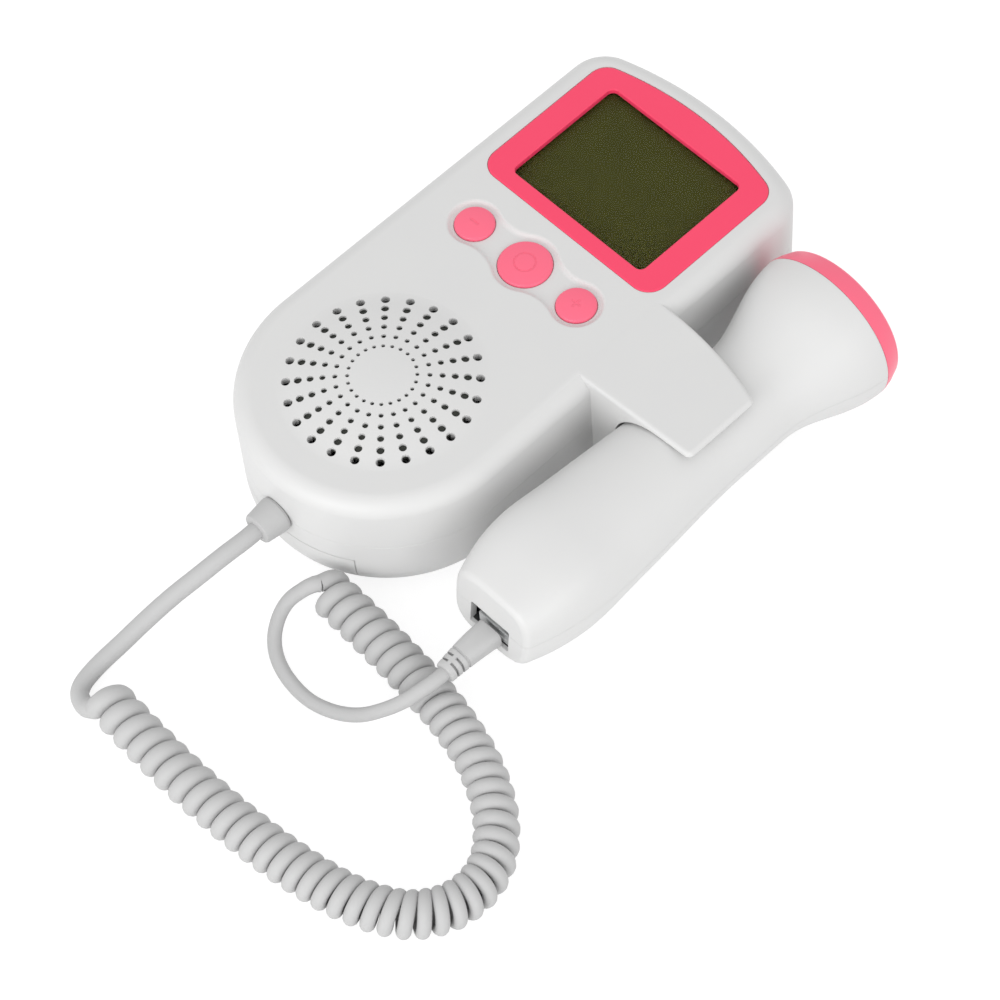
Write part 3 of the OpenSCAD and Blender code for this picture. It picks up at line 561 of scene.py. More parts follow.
@dataclass(frozen=True)
class PlatedSteel:
    """Nickel-plated sheet steel, with the fine lines of its rolling."""

    name: str
    colour: str
    roughness: float
    line_mm: float = 0.4

    def make(self) -> bpy.types.Material:
        """Builds the material from noise that is drawn out along Y."""
        made, tree, shader, at = start_material(self.name)
        drawn = add_node(tree, "ShaderNodeMapping", {"Scale": (1, 0.05, 1)}, {"Vector": at})
        lines = add_node(tree, "ShaderNodeTexNoise", {"Scale": per_metre(self.line_mm), "Detail": 3.0},
                         {"Vector": drawn.outputs["Vector"]})
        worn = add_node(tree, "ShaderNodeMapRange",
                        {"To Min": self.roughness - 0.08, "To Max": self.roughness + 0.1},
                        {"Value": lines.outputs["Fac"]})
        bump = add_node(tree, "ShaderNodeBump", {"Strength": 0.2, "Distance": 0.00001},
                        {"Height": lines.outputs["Fac"]})
        shader.inputs["Base Color"].default_value = linear(self.colour)
        shader.inputs["Metallic"].default_value = 1.0
        tree.links.new(worn.outputs["Result"], shader.inputs["Roughness"])
        tree.links.new(bump.outputs["Normal"], shader.inputs["Normal"])
        return made


@dataclass(frozen=True)
class Striped:
    """A finish whose two colours take turns along one axis of the piece."""

    name: str
    first: str
    second: str
    pitch_mm: float
    axis: str
    roughness: float
    metallic: float = 0.0
    softness: float = 0.1

    def make(self) -> bpy.types.Material:
        """Builds the material from a wave along the axis."""
        made, tree, shader, at = start_material(self.name)
        wave = add_node(tree, "ShaderNodeTexWave",
                        {"wave_type": "BANDS", "bands_direction": self.axis, "Scale": 314.16 / self.pitch_mm},
                        {"Vector": at})
        tone = two_tone(tree, wave.outputs["Fac"], (0.5 - self.softness, 0.5 + self.softness),
                        (self.first, self.second))
        tree.links.new(tone, shader.inputs["Base Color"])
        shader.inputs["Roughness"].default_value = self.roughness
        shader.inputs["Metallic"].default_value = self.metallic
        return made


@dataclass(frozen=True)
class SolderMask:
    """Glass-fibre board under green solder mask, with its copper tracks."""

    name: str
    mask: str
    track: str
    track_mm: float

    def make(self) -> bpy.types.Material:
        """Builds the material from a cell pattern whose borders are the tracks."""
        made, tree, shader, at = start_material(self.name)
        cells = add_node(tree, "ShaderNodeTexVoronoi",
                         {"feature": "F1", "distance": "MANHATTAN", "Scale": per_metre(self.track_mm)}, {"Vector": at})
        tone = two_tone(tree, cells.outputs["Distance"], (0.62, 0.68), (self.mask, self.track))
        bump = add_node(tree, "ShaderNodeBump", {"Strength": 0.3, "Distance": 0.00004}, {"Height": tone})
        tree.links.new(tone, shader.inputs["Base Color"])
        tree.links.new(bump.outputs["Normal"], shader.inputs["Normal"])
        shader.inputs["Roughness"].default_value = 0.3
        return made


class Finishes:
    """Every finish of the monitor, made once and shared by its pieces."""

    def __init__(self) -> None:
        """Builds the materials."""
        # Injection-moulded ABS off a lightly etched tool: white, satin, with soft wide highlights
        self.white_abs = MouldedPlastic("white_abs_satin", "#DBDBDA", "#D8D8D8", 0.42).make()
        # The same resin in pink, off a polished tool: even colour with a slightly sharper highlight
        self.pink_abs = MouldedPlastic("pink_abs_satin", "#F94269", "#F73F66", 0.36, 0.3, 0.003).make()
        # Key caps are moulded in a lighter pink
        self.pink_keys = MouldedPlastic("pink_abs_keys", "#FD6C88", "#FB6884", 0.34, 0.3, 0.002, 0.15).make()
        # Soft PVC: matt grey, with the faint drag of its extrusion
        self.grey_pvc = MouldedPlastic("grey_pvc_matt", "#C1C1C1", "#BCBCBC", 0.62, 0.5, 0.01, 0.1,
                                       specular=0.35).make()
        # Acrylic pane with an anti-glare coat: the low index keeps its reflection as weak as the coat does
        self.acrylic = ClearPlastic("clear_acrylic_pane", "#FFFFFF", 0.05, 1.0, 1.12).make()
        # Clear polycarbonate of a telephone-type plug
        self.polycarbonate = ClearPlastic("clear_polycarbonate", "#F4F6F6", 0.12, 0.65, 1.58).make()
        # Glass of a passive liquid crystal under its polariser: dull olive, with the polariser's faint mottle
        self.lcd_glass = MouldedPlastic("olive_lcd_polariser", "#454620", "#474821", 0.5, 0.5, 0.0, 0.05,
                                        specular=0.0).make()
        # Opaque white polystyrene of the inner carriers: even and satin, it spreads the light behind the display
        self.white_carrier = MouldedPlastic("white_polystyrene", "#F2F2EF", "#ECECE8", 0.5).make()
        # Black paper cone: matt, with visible fibres
        self.paper_cone = MouldedPlastic("black_paper_cone", "#2E2C2A", "#3A3836", 0.85, 0.6, 0.05,
                                         specular=0.2).make()
        # Woven loudspeaker cloth: matt dark grey; its 0.15 mm threads are drawn three times as coarse
        self.cloth = MouldedPlastic("grey_speaker_cloth", "#4B4D49", "#434541", 0.9, 0.45, 0.03, specular=0.1).make()
        # PBT of the telephone-type socket: satin. Its near black is partly the socket's own colour and partly painted
        # shade, so that the mouth reads as a dark gap
        self.black_pbt_and_painted_shade = MouldedPlastic("socket_pbt_black_and_painted_shade", "#303030", "#2A2A2A", 0.5, 0.3, 0.01).make()
        # Silicone keypad: matt grey, slightly see-through
        self.silicone = MouldedPlastic("grey_silicone", "#7C7F80", "#757879", 0.55, 0.5, 0.004, subsurface=0.2).make()
        # Polyurethane lens over the crystals: off-white, smooth to the hand
        self.lens = MouldedPlastic("offwhite_urethane_lens", "#EDE9E2", "#E7E2DB", 0.3, 0.6, 0.002,
                                   subsurface=0.1).make()
        # Fired piezo ceramic with its sandy body
        self.ceramic = MouldedPlastic("sand_piezo_ceramic", "#C9A86B", "#BF9D60", 0.6, 0.2, 0.01).make()
        # Nickel plate on rolled sheet: pale and half blurred, with the fine lines of the rolling
        self.steel = PlatedSteel("nickel_plated_steel", "#C4C6C8", 0.28).make()
        # Printed shrink sleeve of a plain alkaline cell: bands of dark grey and brass
        self.sleeve = Striped("brass_cell_sleeve", "#C9A24C", "#3A3C3E", 34.0, "Y", 0.25, 0.6).make()
        # Zebra connector: carbon layers 0.5 mm apart in silicone, drawn twice as coarse to show
        self.zebra = Striped("zebra_silicone", "#B9B4AC", "#26262A", 1.0, "X", 0.6).make()
        # Solder mask over copper: dark green gloss, with paler tracks that stand up a little
        self.board = SolderMask("green_solder_mask", "#1F5A38", "#3E8A58", 1.6).make()


# ---------------------------------------------------------------- pieces


@dataclass
class Piece:
    """One finished piece: its shape, what it rides on and what it stands for."""

    name: str
    solid: Solid
    carrier: Carrier
    slot: Slot
    finish: bpy.types.Material
    nodes: tuple[str, ...]
    crease: float = 32

    def done(self) -> bpy.types.Object:
        """Moves the shape into the part's frame, smooths it and hands it to its body.

        Returns:
            The object.
        """
        obj = self.solid.obj
        obj.name = obj.data.name = self.name
        obj.data.transform(Matrix.Scale(0.001, 4) @ Matrix.Translation((-MID_X, -MID_Y, 0)))
        obj.data.materials.clear()
        obj.data.materials.append(self.finish)
        obj.data.shade_smooth()
        obj.data.set_sharp_from_angle(angle=math.radians(self.crease))
        even = obj.modifiers.new("even normals", "WEIGHTED_NORMAL")
        even.keep_sharp = True
        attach(obj, self.carrier.value)
        if self.nodes:
            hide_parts(*self.nodes)
        obj.data.calc_loop_triangles()
        LOG.info("%s: %d triangles on %s", self.name, len(obj.data.loop_triangles), self.carrier.value)
        return obj


@dataclass
class Case:
    """The two covers with the clip, and the battery door."""

    end_r: float = 33.5
    head_half_w: float = 33
    reach: float = 105.4
    bow_r: float = 92
    corner_r: float = 10
    height: float = 33.2
    seam: float = SEAM_Z
    wall: float = 2
    front_round: float = 4.5
    rear_round: float = 6.6
    arm_reach: float = 62.3
    jaw_reach: float = 57.5
    arm_low: float = 30.6
    arm_high: float = 57.3
    arm_taper: float = 1.6
    arm_tip: float = 1.6
    jaw_floor: float = 2.4
    probe_x: float = PROBE_X
    probe_z: float = PROBE_Z
    clip_r: float = 12.54
    clip_back: float = 1.36
    dome_r: float = 22.6
    dome_h: float = 2.6
    dome_wall: float = 0.8
    foot_start: float = 0.875
    foot_width: float = 0.2
    foot_height: float = 0.234
    hole_rings: int = 6
    hole_spokes: int = 24
    hole_start: float = 7.7
    hole_step: float = 2.75
    hole_small_d: float = 0.9
    hole_large_d: float = 2.05
    tray_depth: float = 0.9
    tray_small_r: float = 5.6
    tray_large_r: float = 7.2
    tray_neck_r: float = 11
    door_w: float = 36
    door_t: float = 1.8
    door_lip: float = 11
    door_gap: float = 0.2
    bay_y: float = 3
    bay_foot: float = 28.45
    bay_head: float = 29.45
    bay_w: float = 33.2
    bay_l: float = 56.9
    bay_h: float = 16.6
    bay_wall: float = 1.4
    bay_roof: float = 17.2
    ledge_l: float = 59.1
    cells_w: float = 30.4
    cells_l: float = 54.1
    post_r: float = 3
    screw_r: float = 1.3
    head_r: float = 2.3
    lead_hole_r: float = 3.2
    posts: tuple[tuple[float, float], ...] = ((26.8, -7), (26.8, 36.5), (26.3, 92.5))

    def outline(self, inset: float = 0) -> list[Arc]:
        """Returns the case's plan, drawn in by inset."""
        low = self.reach - self.bow_r
        x = self.head_half_w - self.corner_r
        y = math.sqrt((self.bow_r - self.corner_r) ** 2 - x ** 2)
        turn = math.degrees(math.atan2(y, x))
        return [
            Arc(0, 0, self.end_r - inset, -180, 0, 96),
            Arc(x, low + y, self.corner_r - inset, 0, turn, 16),
            Arc(0, low, self.bow_r - inset, turn, 180 - turn, 24),
            Arc(-x, low + y, self.corner_r - inset, 180 - turn, 180, 16)]

    def arm(self, reach: float) -> list[Arc]:
        """Returns the plan of the clip's arm or jaw, from inside the case to its tip."""
        root, bow = self.end_r - self.front_round - 0.1, (self.end_r - 0.5, self.arm_high - self.bow_r)
        x, y = reach - self.arm_tip, self.arm_low + self.arm_taper + self.arm_tip
        far = math.sqrt((self.bow_r - self.arm_tip) ** 2 - (x - bow[0]) ** 2)
        turn = math.degrees(math.atan2(far, x - bow[0]))
        return [
            Arc(root, self.arm_low), Arc(x, y, self.arm_tip, -90, 0, 8),
            Arc(x, bow[1] + far, self.arm_tip, 0, turn, 8),
            Arc(bow[0], bow[1], self.bow_r, turn, 90, 16), Arc(root, self.arm_high)]

    def on_limb(self, at: Vector, outside: bool, clear: bool, reach: float) -> bool:
        """Says whether an edge of the arm or the jaw is rounded.

        Args:
            at: the edge's middle.
            outside: whether that is on the limb's outer face.
            clear: whether it keeps clear of the seam.
            reach: how far the limb reaches.

        Returns:
            True on the outer face beyond the case, and near the tip where it keeps clear of the seam.
        """
        return (outside and at.x > self.end_r - 3) or (clear and at.x > reach - 4)

    def post_places(self) -> list[tuple[float, float]]:
        """Returns the middles of the six screw posts."""
        return [(side * x, y) for x, y in self.posts for side in (-1, 1)]

    def lead_hole(self) -> Solid:
        """Returns the hole for the lead, half in each cover."""
        return rod(0, -self.end_r - 1, self.seam, self.lead_hole_r, 2 * self.wall)

    def clip_room(self) -> Solid:
        """Returns the space for the probe's handle, open towards its side."""
        x, y, length = self.probe_x - self.clip_back, self.arm_low - 2, self.arm_high - self.arm_low + 4
        return rod(x, y, self.probe_z, self.clip_r, length, 160).add(
            block((x, y, self.probe_z - self.clip_r + 0.001), (40, length, 2 * self.clip_r - 0.002)))

    def root_room(self, z: float, top: float) -> Solid:
        """Returns the hollow of the clip's root."""
        x = self.end_r - 5
        return block((x, self.arm_low + self.wall, z),
                     (self.probe_x - self.clip_back - self.clip_r - 2 * self.wall - x + 1,
                      self.arm_high - self.arm_low - 2.5 * self.wall, top - z))

    def dome_profile(self, drop: float) -> list[tuple[float, float]]:
        """Returns the dome's half section, lowered by drop, with its foot run out into the face."""
        top, r = self.height - drop, self.dome_r
        points = [(0.0, top + self.dome_h)]
        points += [(r * t / 16, top + self.dome_h * (1 - (t / 16) ** 2)) for t in range(1, 15)]
        for share in (0.2, 0.4, 0.6, 0.8, 1.0):
            t, a = self.foot_start + self.foot_width * share, 1 - share
            points.append((r * t, top + self.dome_h * self.foot_height * a * a * (1 + 0.5 * share) - 0.02))
        return points

    def dome(self) -> Solid:
        """Returns the loudspeaker's dome with a foot inside the face."""
        points = self.dome_profile(0)
        return turned(points + [(points[-1][0], self.height - 1), (0, self.height - 1)], 120)

    def dome_room(self) -> Solid:
        """Returns the hollow under the dome."""
        points = [p for p in self.dome_profile(self.dome_wall) if p[0] < self.dome_r - 1.4]
        return turned(points + [(points[-1][0], self.height - 5), (0, self.height - 5)], 120)

    def holes(self) -> Solid:
        """Returns the loudspeaker's holes: 24 spokes of six, which grow outwards."""
        made, small, large = None, self.hole_small_d, self.hole_large_d
        for k in range(self.hole_rings):
            size = small / 2 + (large - small) / 2 * k / (self.hole_rings - 1)
            for s in range(self.hole_spokes):
                turn = math.tau * s / self.hole_spokes
                r = self.hole_start + self.hole_step * k
                hole = drum(r * math.cos(turn), r * math.sin(turn), self.height - 3.5, size, 7.5, 20)
                made = made.also(hole) if made else hole
        return made

    def tray_ring(self, grow: float, z: float) -> list[Vector]:
        """Returns the tray's outline: three circles that flow into each other.

        Args:
            grow: how far the outline is pushed out.
            z: its height.

        Returns:
            Its points, anticlockwise.
        """
        f, p, small, large = self.tray_neck_r, KEY_STEP, self.tray_small_r, self.tray_large_r
        x = ((small + f) ** 2 - (large + f) ** 2 + p * p) / (2 * p)
        y = math.sqrt((small + f) ** 2 - x * x)
        b, g = math.degrees(math.atan2(y, x)), math.degrees(math.atan2(y, p - x))
        inner, made = p - x, []
        for cx, cy, r, start, end, steps in (
                (p, 0, small + grow, b - 180, 180 - b, 40), (inner, y, f - grow, -b, g - 180, 14),
                (0, 0, large + grow, g, 180 - g, 24), (-inner, y, f - grow, -g, b - 180, 14),
                (-p, 0, small + grow, b, 360 - b, 40), (-inner, -y, f - grow, 180 - b, g, 14),
                (0, 0, large + grow, 180 + g, 360 - g, 24), (inner, -y, f - grow, 180 - g, b, 14)):
            for k in range(steps):
                a = math.radians(start + (end - start) * k / steps)
                made.append(Vector((cx + r * math.cos(a), KEY_Y + cy + r * math.sin(a), z)))
        return made

    def tray(self) -> Solid:
        """Returns the hollow round the three buttons, with soft sloping sides."""
        floor, face = self.height - self.tray_depth, self.height
        levels = ((floor, -0.6), (floor + 0.04, -0.3), (floor + 0.15, -0.02), (floor + 0.35, 0.22),
                  (floor + 0.6, 0.42), (face - 0.12, 0.62), (face - 0.03, 0.82), (face + 0.01, 1.05), (face + 2, 1.05))
        return lofted([self.tray_ring(grow, z) for z, grow in levels])

    def front(self) -> Solid:
        """Builds the front cover with its arm, dome, tray and openings."""
        body = plate(self.outline(), self.seam, self.height - self.seam, rim=self.front_round, foot=0.12, steps=12)
        arm = plate(self.arm(self.arm_reach), self.seam, self.height - self.seam).soften(
            1.05, 6, lambda p: self.on_limb(p, p.z > self.height - 0.1, p.z > self.seam + 1, self.arm_reach))
        body.add(arm, self.dome())
        hollow = plate(self.outline(self.wall), self.seam - 1, self.height - self.seam - self.wall + 1, rim=2.5,
                       steps=6)
        body.take(hollow, self.dome_room(), self.root_room(self.seam - 1, self.height - self.wall), self.clip_room())
        for x, y in self.post_places():
            body.add(drum(x, y, self.seam, self.post_r, self.height - self.wall - self.seam + 0.1))
            body.take(drum(x, y, self.seam - 1, self.screw_r, 10))
        body.take(self.holes(), self.tray())
        for x, d in ((-KEY_STEP, SMALL_KEY_D), (0, POWER_KEY_D), (KEY_STEP, SMALL_KEY_D)):
            body.take(drum(x, KEY_Y, self.seam, d / 2 + 0.1, self.height, 96))
        bezel = Bezel()
        body.take(plate(bezel.outline(-bezel.gap), bezel.floor, 5),
                  mid_block(bezel.view_w + 5, bezel.view_y - bezel.view_l / 2 - 2.5, bezel.view_l + 5,
                            self.seam, self.height),
                  self.lead_hole())
        return body

    def door_plan(self, gap: float, z: float, height: float, high: float) -> Solid:
        """Returns a block over the battery door's plan."""
        low = -self.end_r - 2
        return block((-self.door_w / 2 - gap, low, z), (self.door_w + 2 * gap, high - low, height))

    def door_room(self, gap: float) -> Solid:
        """Returns the space that the door takes, grown by gap."""
        bay_low, high = self.bay_y - self.bay_foot, self.bay_y + self.bay_head
        return self.door_plan(gap, -1, 1 + self.door_t + gap, high + gap).add(
            self.door_plan(gap, -1.01, 1.01 + self.door_lip + gap, bay_low - 2 * self.door_gap + gap))

    def rear_form(self, inset: float, top: float, seam_edge: float = 0) -> Solid:
        """Returns the rear cover's outside form, drawn in by inset."""
        return plate(self.outline(inset), inset, top - inset, rim=seam_edge, foot=self.rear_round - inset, steps=14)

    def rear(self) -> Solid:
        """Builds the rear cover with its jaw, battery bay and screw posts."""
        jaw = plate(self.arm(self.jaw_reach), self.jaw_floor, self.seam - self.jaw_floor).soften(
            0.8, 5, lambda p: self.on_limb(p, p.z < self.jaw_floor + 0.1, p.z < self.seam - 1, self.jaw_reach))
        body = self.rear_form(0, self.seam, 0.12).add(jaw)
        body.take(self.rear_form(self.wall, self.seam + 1), self.root_room(self.jaw_floor + self.wall, self.seam + 1))
        ledge, low = self.door_t + self.door_gap, self.bay_y - self.bay_foot
        tub = self.door_w + 2 * self.door_gap + 2 * self.bay_wall
        inside = mid_block(self.bay_w, low, self.bay_l, ledge, self.bay_h).add(
            mid_block(tub, low + 0.01, self.ledge_l, ledge + 0.001, self.bay_wall),
            mid_block(tub, -self.end_r, low + self.end_r + self.bay_wall, ledge + 0.002,
                      self.door_lip + self.bay_wall - ledge))
        for x, y in self.post_places():
            inside.add(drum(x, y, 0.5, self.post_r, self.seam - 0.55))
        body.add(inside.keep(self.rear_form(self.wall / 2, self.bay_roof + 1)))
        body.take(mid_block(self.cells_w, low + self.bay_wall, self.cells_l, -1, self.bay_roof),
                  self.door_room(self.door_gap), self.clip_room())
        for x, y in self.post_places():
            body.take(drum(x, y, -1, self.screw_r, self.seam + 2, 32), drum(x, y, -1.01, self.head_r, 9.01, 48))
        return body.take(self.lead_hole())

    def door(self) -> Solid:
        """Builds the battery door: the piece of the rear form that the cover leaves open."""
        body = self.rear_form(0, self.seam).keep(self.door_room(0)).take(self.rear_form(self.door_t, self.seam + 1))
        high = self.bay_y + self.bay_head
        for k in range(4):
            ridge = mid_block(14, high - 8 - 2 * k, 0.8, -1, 1.5).soften(0.3, 3, lambda p: p.z > 0)
            body.take(ridge)
        return body

    def cloth(self) -> Solid:
        """Returns the loudspeaker's cloth, stretched just under the dome."""
        upper = [p for p in self.dome_profile(self.dome_wall + 0.1) if p[0] < self.dome_r - 1.6]
        lower = [(r, z - 0.25) for r, z in upper]
        return turned(upper + lower[::-1], 96)

    def build(self, looks: Finishes) -> None:
        """Dresses the covers, the door and the loudspeaker's cloth."""
        Piece("speaker_cloth", self.cloth(), Carrier.UNIT, Slot.CONE, looks.cloth, ()).done()
        Piece("cover_front", self.front(), Carrier.UNIT, Slot.CASE, looks.white_abs, ("front_cover",)).done()
        Piece("cover_rear", self.rear(), Carrier.UNIT, Slot.CASE, looks.white_abs, ("rear_cover",)).done()
        Piece("cover_battery", self.door(), Carrier.DOOR, Slot.CASE, looks.white_abs, ("battery_door",)).done()


@dataclass
class Bezel:
    """The pink frame round the display."""

    width: float = 54.4
    low: float = 55.7
    high: float = 100.2
    bow_y: float = 13.4
    corner_r: float = 5
    thickness: float = 1.4
    floor: float = 32.0
    gap: float = 0.04
    view_w: float = 41
    view_l: float = 32.6
    view_y: float = 76.1
    view_r: float = 1.7

    def outline(self, inset: float = 0) -> list[Arc]:
        """Returns the frame's plan, drawn in by inset."""
        r, x, bow = self.corner_r, self.width / 2 - self.corner_r, self.high - self.bow_y
        y = math.sqrt((bow - r) ** 2 - x ** 2)
        turn = math.degrees(math.atan2(y, x))
        return [
            Arc(x, self.low + r, r - inset, -90, 0, 14), Arc(x, self.bow_y + y, r - inset, 0, turn, 14),
            Arc(0, self.bow_y, bow - inset, turn, 180 - turn, 24),
            Arc(-x, self.bow_y + y, r - inset, 180 - turn, 180, 14), Arc(-x, self.low + r, r - inset, 180, 270, 14)]

    def build(self, looks: Finishes) -> None:
        """Dresses the frame, with the opening over the pane."""
        body = plate(self.outline(), self.floor, self.thickness, rim=0.5, steps=5)
        body.take(plate(corner_box(0, self.view_y, self.view_w, self.view_l, self.view_r), self.floor - 1, 4))
        top = self.floor + self.thickness
        body.soften(0.3, 3, lambda p: abs(p.z - top) < 0.01 and abs(p.x) < self.view_w / 2 + 0.1
                    and abs(p.y - self.view_y) < self.view_l / 2 + 0.1, 60)
        Piece("frame_pink", body, Carrier.UNIT, Slot.PINK_TRIM, looks.pink_abs, ("display_bezel",)).done()


@dataclass
class Button:
    """One push button with its sign."""

    name: str
    node: str
    carrier: Carrier
    symbol: Symbol
    x: float
    diameter: float
    y: float = KEY_Y
    crown: float = 33.55
    ball_share: float = 2.4
    edge_r: float = 0.7
    flange_z: float = 30.2
    stem_z: float = 26.95
    cut: float = 0.1

    def sign(self) -> Solid:
        """Returns the shallow cut of the button's sign, standing through its crown."""
        low = self.crown - self.cut
        if self.symbol is Symbol.RING:
            low -= 0.09
            return turned([(2.3, low), (2.65, low), (2.65, low + 1), (2.3, low + 1)], 64)
        bar = plate(corner_box(0, 0, 2.6, 0.5, 0.24, 4), low, 1)
        if self.symbol is Symbol.PLUS:
            bar.add(plate(corner_box(0, 0, 0.5, 2.6, 0.24, 4), low + 0.001, 1))
        return bar

    def build(self, looks: Finishes) -> None:
        """Dresses the button: domed cap with a round shoulder, flange and stem."""
        r = self.diameter / 2
        ball, soft = self.ball_share * self.diameter, self.edge_r
        sag = [(s, self.crown - ball + math.sqrt(ball ** 2 - s ** 2)) for s in
               (r * k / 10 for k in range(0, 10))]
        shoulder_x, shoulder_z = r - soft, sag[-1][1] + 0.02
        edge = [(shoulder_x + soft * math.sin(a), shoulder_z - soft + soft * math.cos(a))
                for a in (math.radians(t) for t in range(13, 91, 11))]
        section = [p for p in sag if p[0] < edge[0][0] - 0.02] + edge + [
            (r, self.flange_z + 0.9), (r + 1, self.flange_z + 0.9), (r + 1, self.flange_z),
            (r / 2, self.flange_z), (r / 2, self.stem_z), (0, self.stem_z)]
        body = turned(section, 96).take(self.sign()).moved(self.x, self.y)
        Piece(self.name, body, self.carrier, Slot.PINK_KEYS, looks.pink_keys, (self.node,), 40).done()


@dataclass
class Probe:
    """The hand-held probe: two shells, the band, the sensing face and the socket's mouth."""

    x: float = PROBE_X
    z: float = PROBE_Z
    palm_r: float = 15.2
    neck_r: float = 13
    tail_r: float = 10.9
    bell_r: float = 19.2
    tail: float = -21
    palm: float = 2
    neck: float = 46
    bell: float = 58
    band: float = 84.2
    wall: float = 1.8
    tail_flat: float = 0.85
    handle_flat: float = 0.9
    lean: float = 0.12
    end_round: float = 1.3
    band_w: float = 5.4
    band_taper: float = 1.1
    band_round: float = 1.6
    face_rim: float = 3.2
    face_dome: float = 0.8
    points: int = 112
    parting: float = 0.012

    def ease(self, a: float, b: float, t: float) -> float:
        """Returns a value between a and b that starts and ends level."""
        return a + (b - a) * (1 - math.cos(math.pi * min(max(t, 0), 1))) / 2

    def radius(self, y: float) -> float:
        """Returns the handle's half width at y."""
        if y < self.palm:
            return self.palm_r - (self.palm_r - self.tail_r) * ((self.palm - y) / (self.palm - self.tail)) ** 2
        if y < self.neck:
            return self.ease(self.palm_r, self.neck_r, (y - self.palm) / (self.neck - self.palm))
        return self.ease(self.neck_r, self.bell_r, (y - self.bell) / ((self.band - self.bell) * 1.03))

    def flatness(self, y: float) -> float:
        """Returns the handle's height as a share of its width at y."""
        if y < self.bell:
            return self.ease(self.tail_flat, self.handle_flat, (y - self.tail) / 26)
        return self.ease(self.handle_flat, 1, (y - self.bell) / 20)

    def ring(self, y: float, inset: float) -> list[Vector]:
        """Returns the section at y, a rounded box at the socket's end that turns to an oval.

        Args:
            y: the place along the probe.
            inset: how far the section is drawn in.

        Returns:
            Its points, about the probe's axis.
        """
        power = 2 / self.ease(3.6, 2, (y - self.tail) / 34)
        w, h = self.radius(y) - inset, self.radius(y) * self.flatness(y) - inset
        lean = self.lean * max(0.0, 1 - (y - self.tail) / 12)
        return [Vector((x, y + lean * z, z)) for x, z in oval(w, h, power, self.points)]

    def form(self, inset: float, start: float, rounded: float) -> Solid:
        """Lofts the handle and the bell.

        Args:
            inset: how far the form is drawn in.
            start: where it begins.
            rounded: the rounding of its end.

        Returns:
            The closed form, up to the band.
        """
        rings = [self.ring(start + rounded * (1 - math.sin(a)), inset + rounded * (1 - math.cos(a)))
                 for a in (math.radians(t) for t in range(90, 0, -15))] if rounded else []
        step, y = 1.9, start + rounded
        while y < self.band - 0.5:
            rings.append(self.ring(y, inset))
            y += step
        rings.append(self.ring(self.band - 0.03, inset))
        return lofted(rings)

    def shells(self) -> tuple[Solid, Solid]:
        """Returns the upper and the lower shell, parted along the middle."""
        whole = self.form(0, self.tail, self.end_round)
        whole.take(self.form(self.wall, self.tail + self.wall, 0))
        # The bell's end stays open behind the band's spigot
        whole.take(along_y(turned([(0, -4), (17.9, -4), (17.9, 2), (0, 2)], 96), self.band))
        mouth = plate(corner_box(0, MOUTH_MID_Z, MOUTH_W, MOUTH_H, 0.5, 4), -4, 8)
        whole.take(mouth.moved(0, self.tail, 0, Matrix.Rotation(math.radians(90), 4, "X")))
        big = 130
        upper = whole.copy().keep(block((-big, -big, self.parting), (2 * big, 2 * big, big)))
        lower = whole.keep(block((-big, -big, -big - self.parting), (2 * big, 2 * big, big)))
        return upper, lower

    def band_ring(self) -> Solid:
        """Returns the band: a rim with a rounded front edge and a spigot in the bell."""
        r, f, w = self.bell_r, self.band_round, self.band_w
        top = r - self.band_taper
        section = [(16.7, -2.1), (17.7, -2.1), (17.7, 0.04), (r - 0.12, 0.04), (r - 0.02, 0.1), (r, 0.22),
                   (r - self.band_taper * 0.35, w * 0.4)]
        section += [(top - f + f * math.cos(a), w - f + f * math.sin(a))
                    for a in (math.radians(t) for t in range(6, 91, 12))]
        inner = r - self.face_rim
        section += [(inner + 0.45, w), (inner + 0.15, w - 0.12), (inner, w - 0.4), (inner, 1.6), (16.7, 1.2)]
        return along_y(turned(section, 128), self.band)

    def face(self) -> Solid:
        """Returns the sensing face: a shallow lens with a fine groove near its rim."""
        r = self.bell_r - self.face_rim - 0.1
        w = self.band_w
        section = [(0, w - 1.6), (r, w - 1.6), (r, w - 0.45), (r - 0.15, w - 0.3)]
        for t in (0.96, 0.93, 0.915, 0.9, 0.86, 0.78, 0.68, 0.55, 0.4, 0.2, 0.0):
            dip = 0.18 if t == 0.915 else 0
            section.append((r * t, w - 0.3 + self.face_dome * (1 - t * t) - dip))
        return along_y(turned(section, 96), self.band)

    def build(self, looks: Finishes) -> None:
        """Dresses the probe's outside pieces."""
        upper, lower = self.shells()
        for name, solid, slot, finish, node in (
                ("probe_shell_top", upper, Slot.CASE, looks.white_abs, "probe_upper_shell"),
                ("probe_shell_base", lower, Slot.CASE, looks.white_abs, "probe_lower_shell"),
                ("probe_band", self.band_ring(), Slot.PINK_TRIM, looks.pink_keys, "probe_ring"),
                ("probe_lens", self.face(), Slot.FACE, looks.lens, "probe_face")):
            solid.moved(self.x, 0, self.z)
            Piece(name, solid, Carrier.PROBE, slot, finish, (node,)).done()


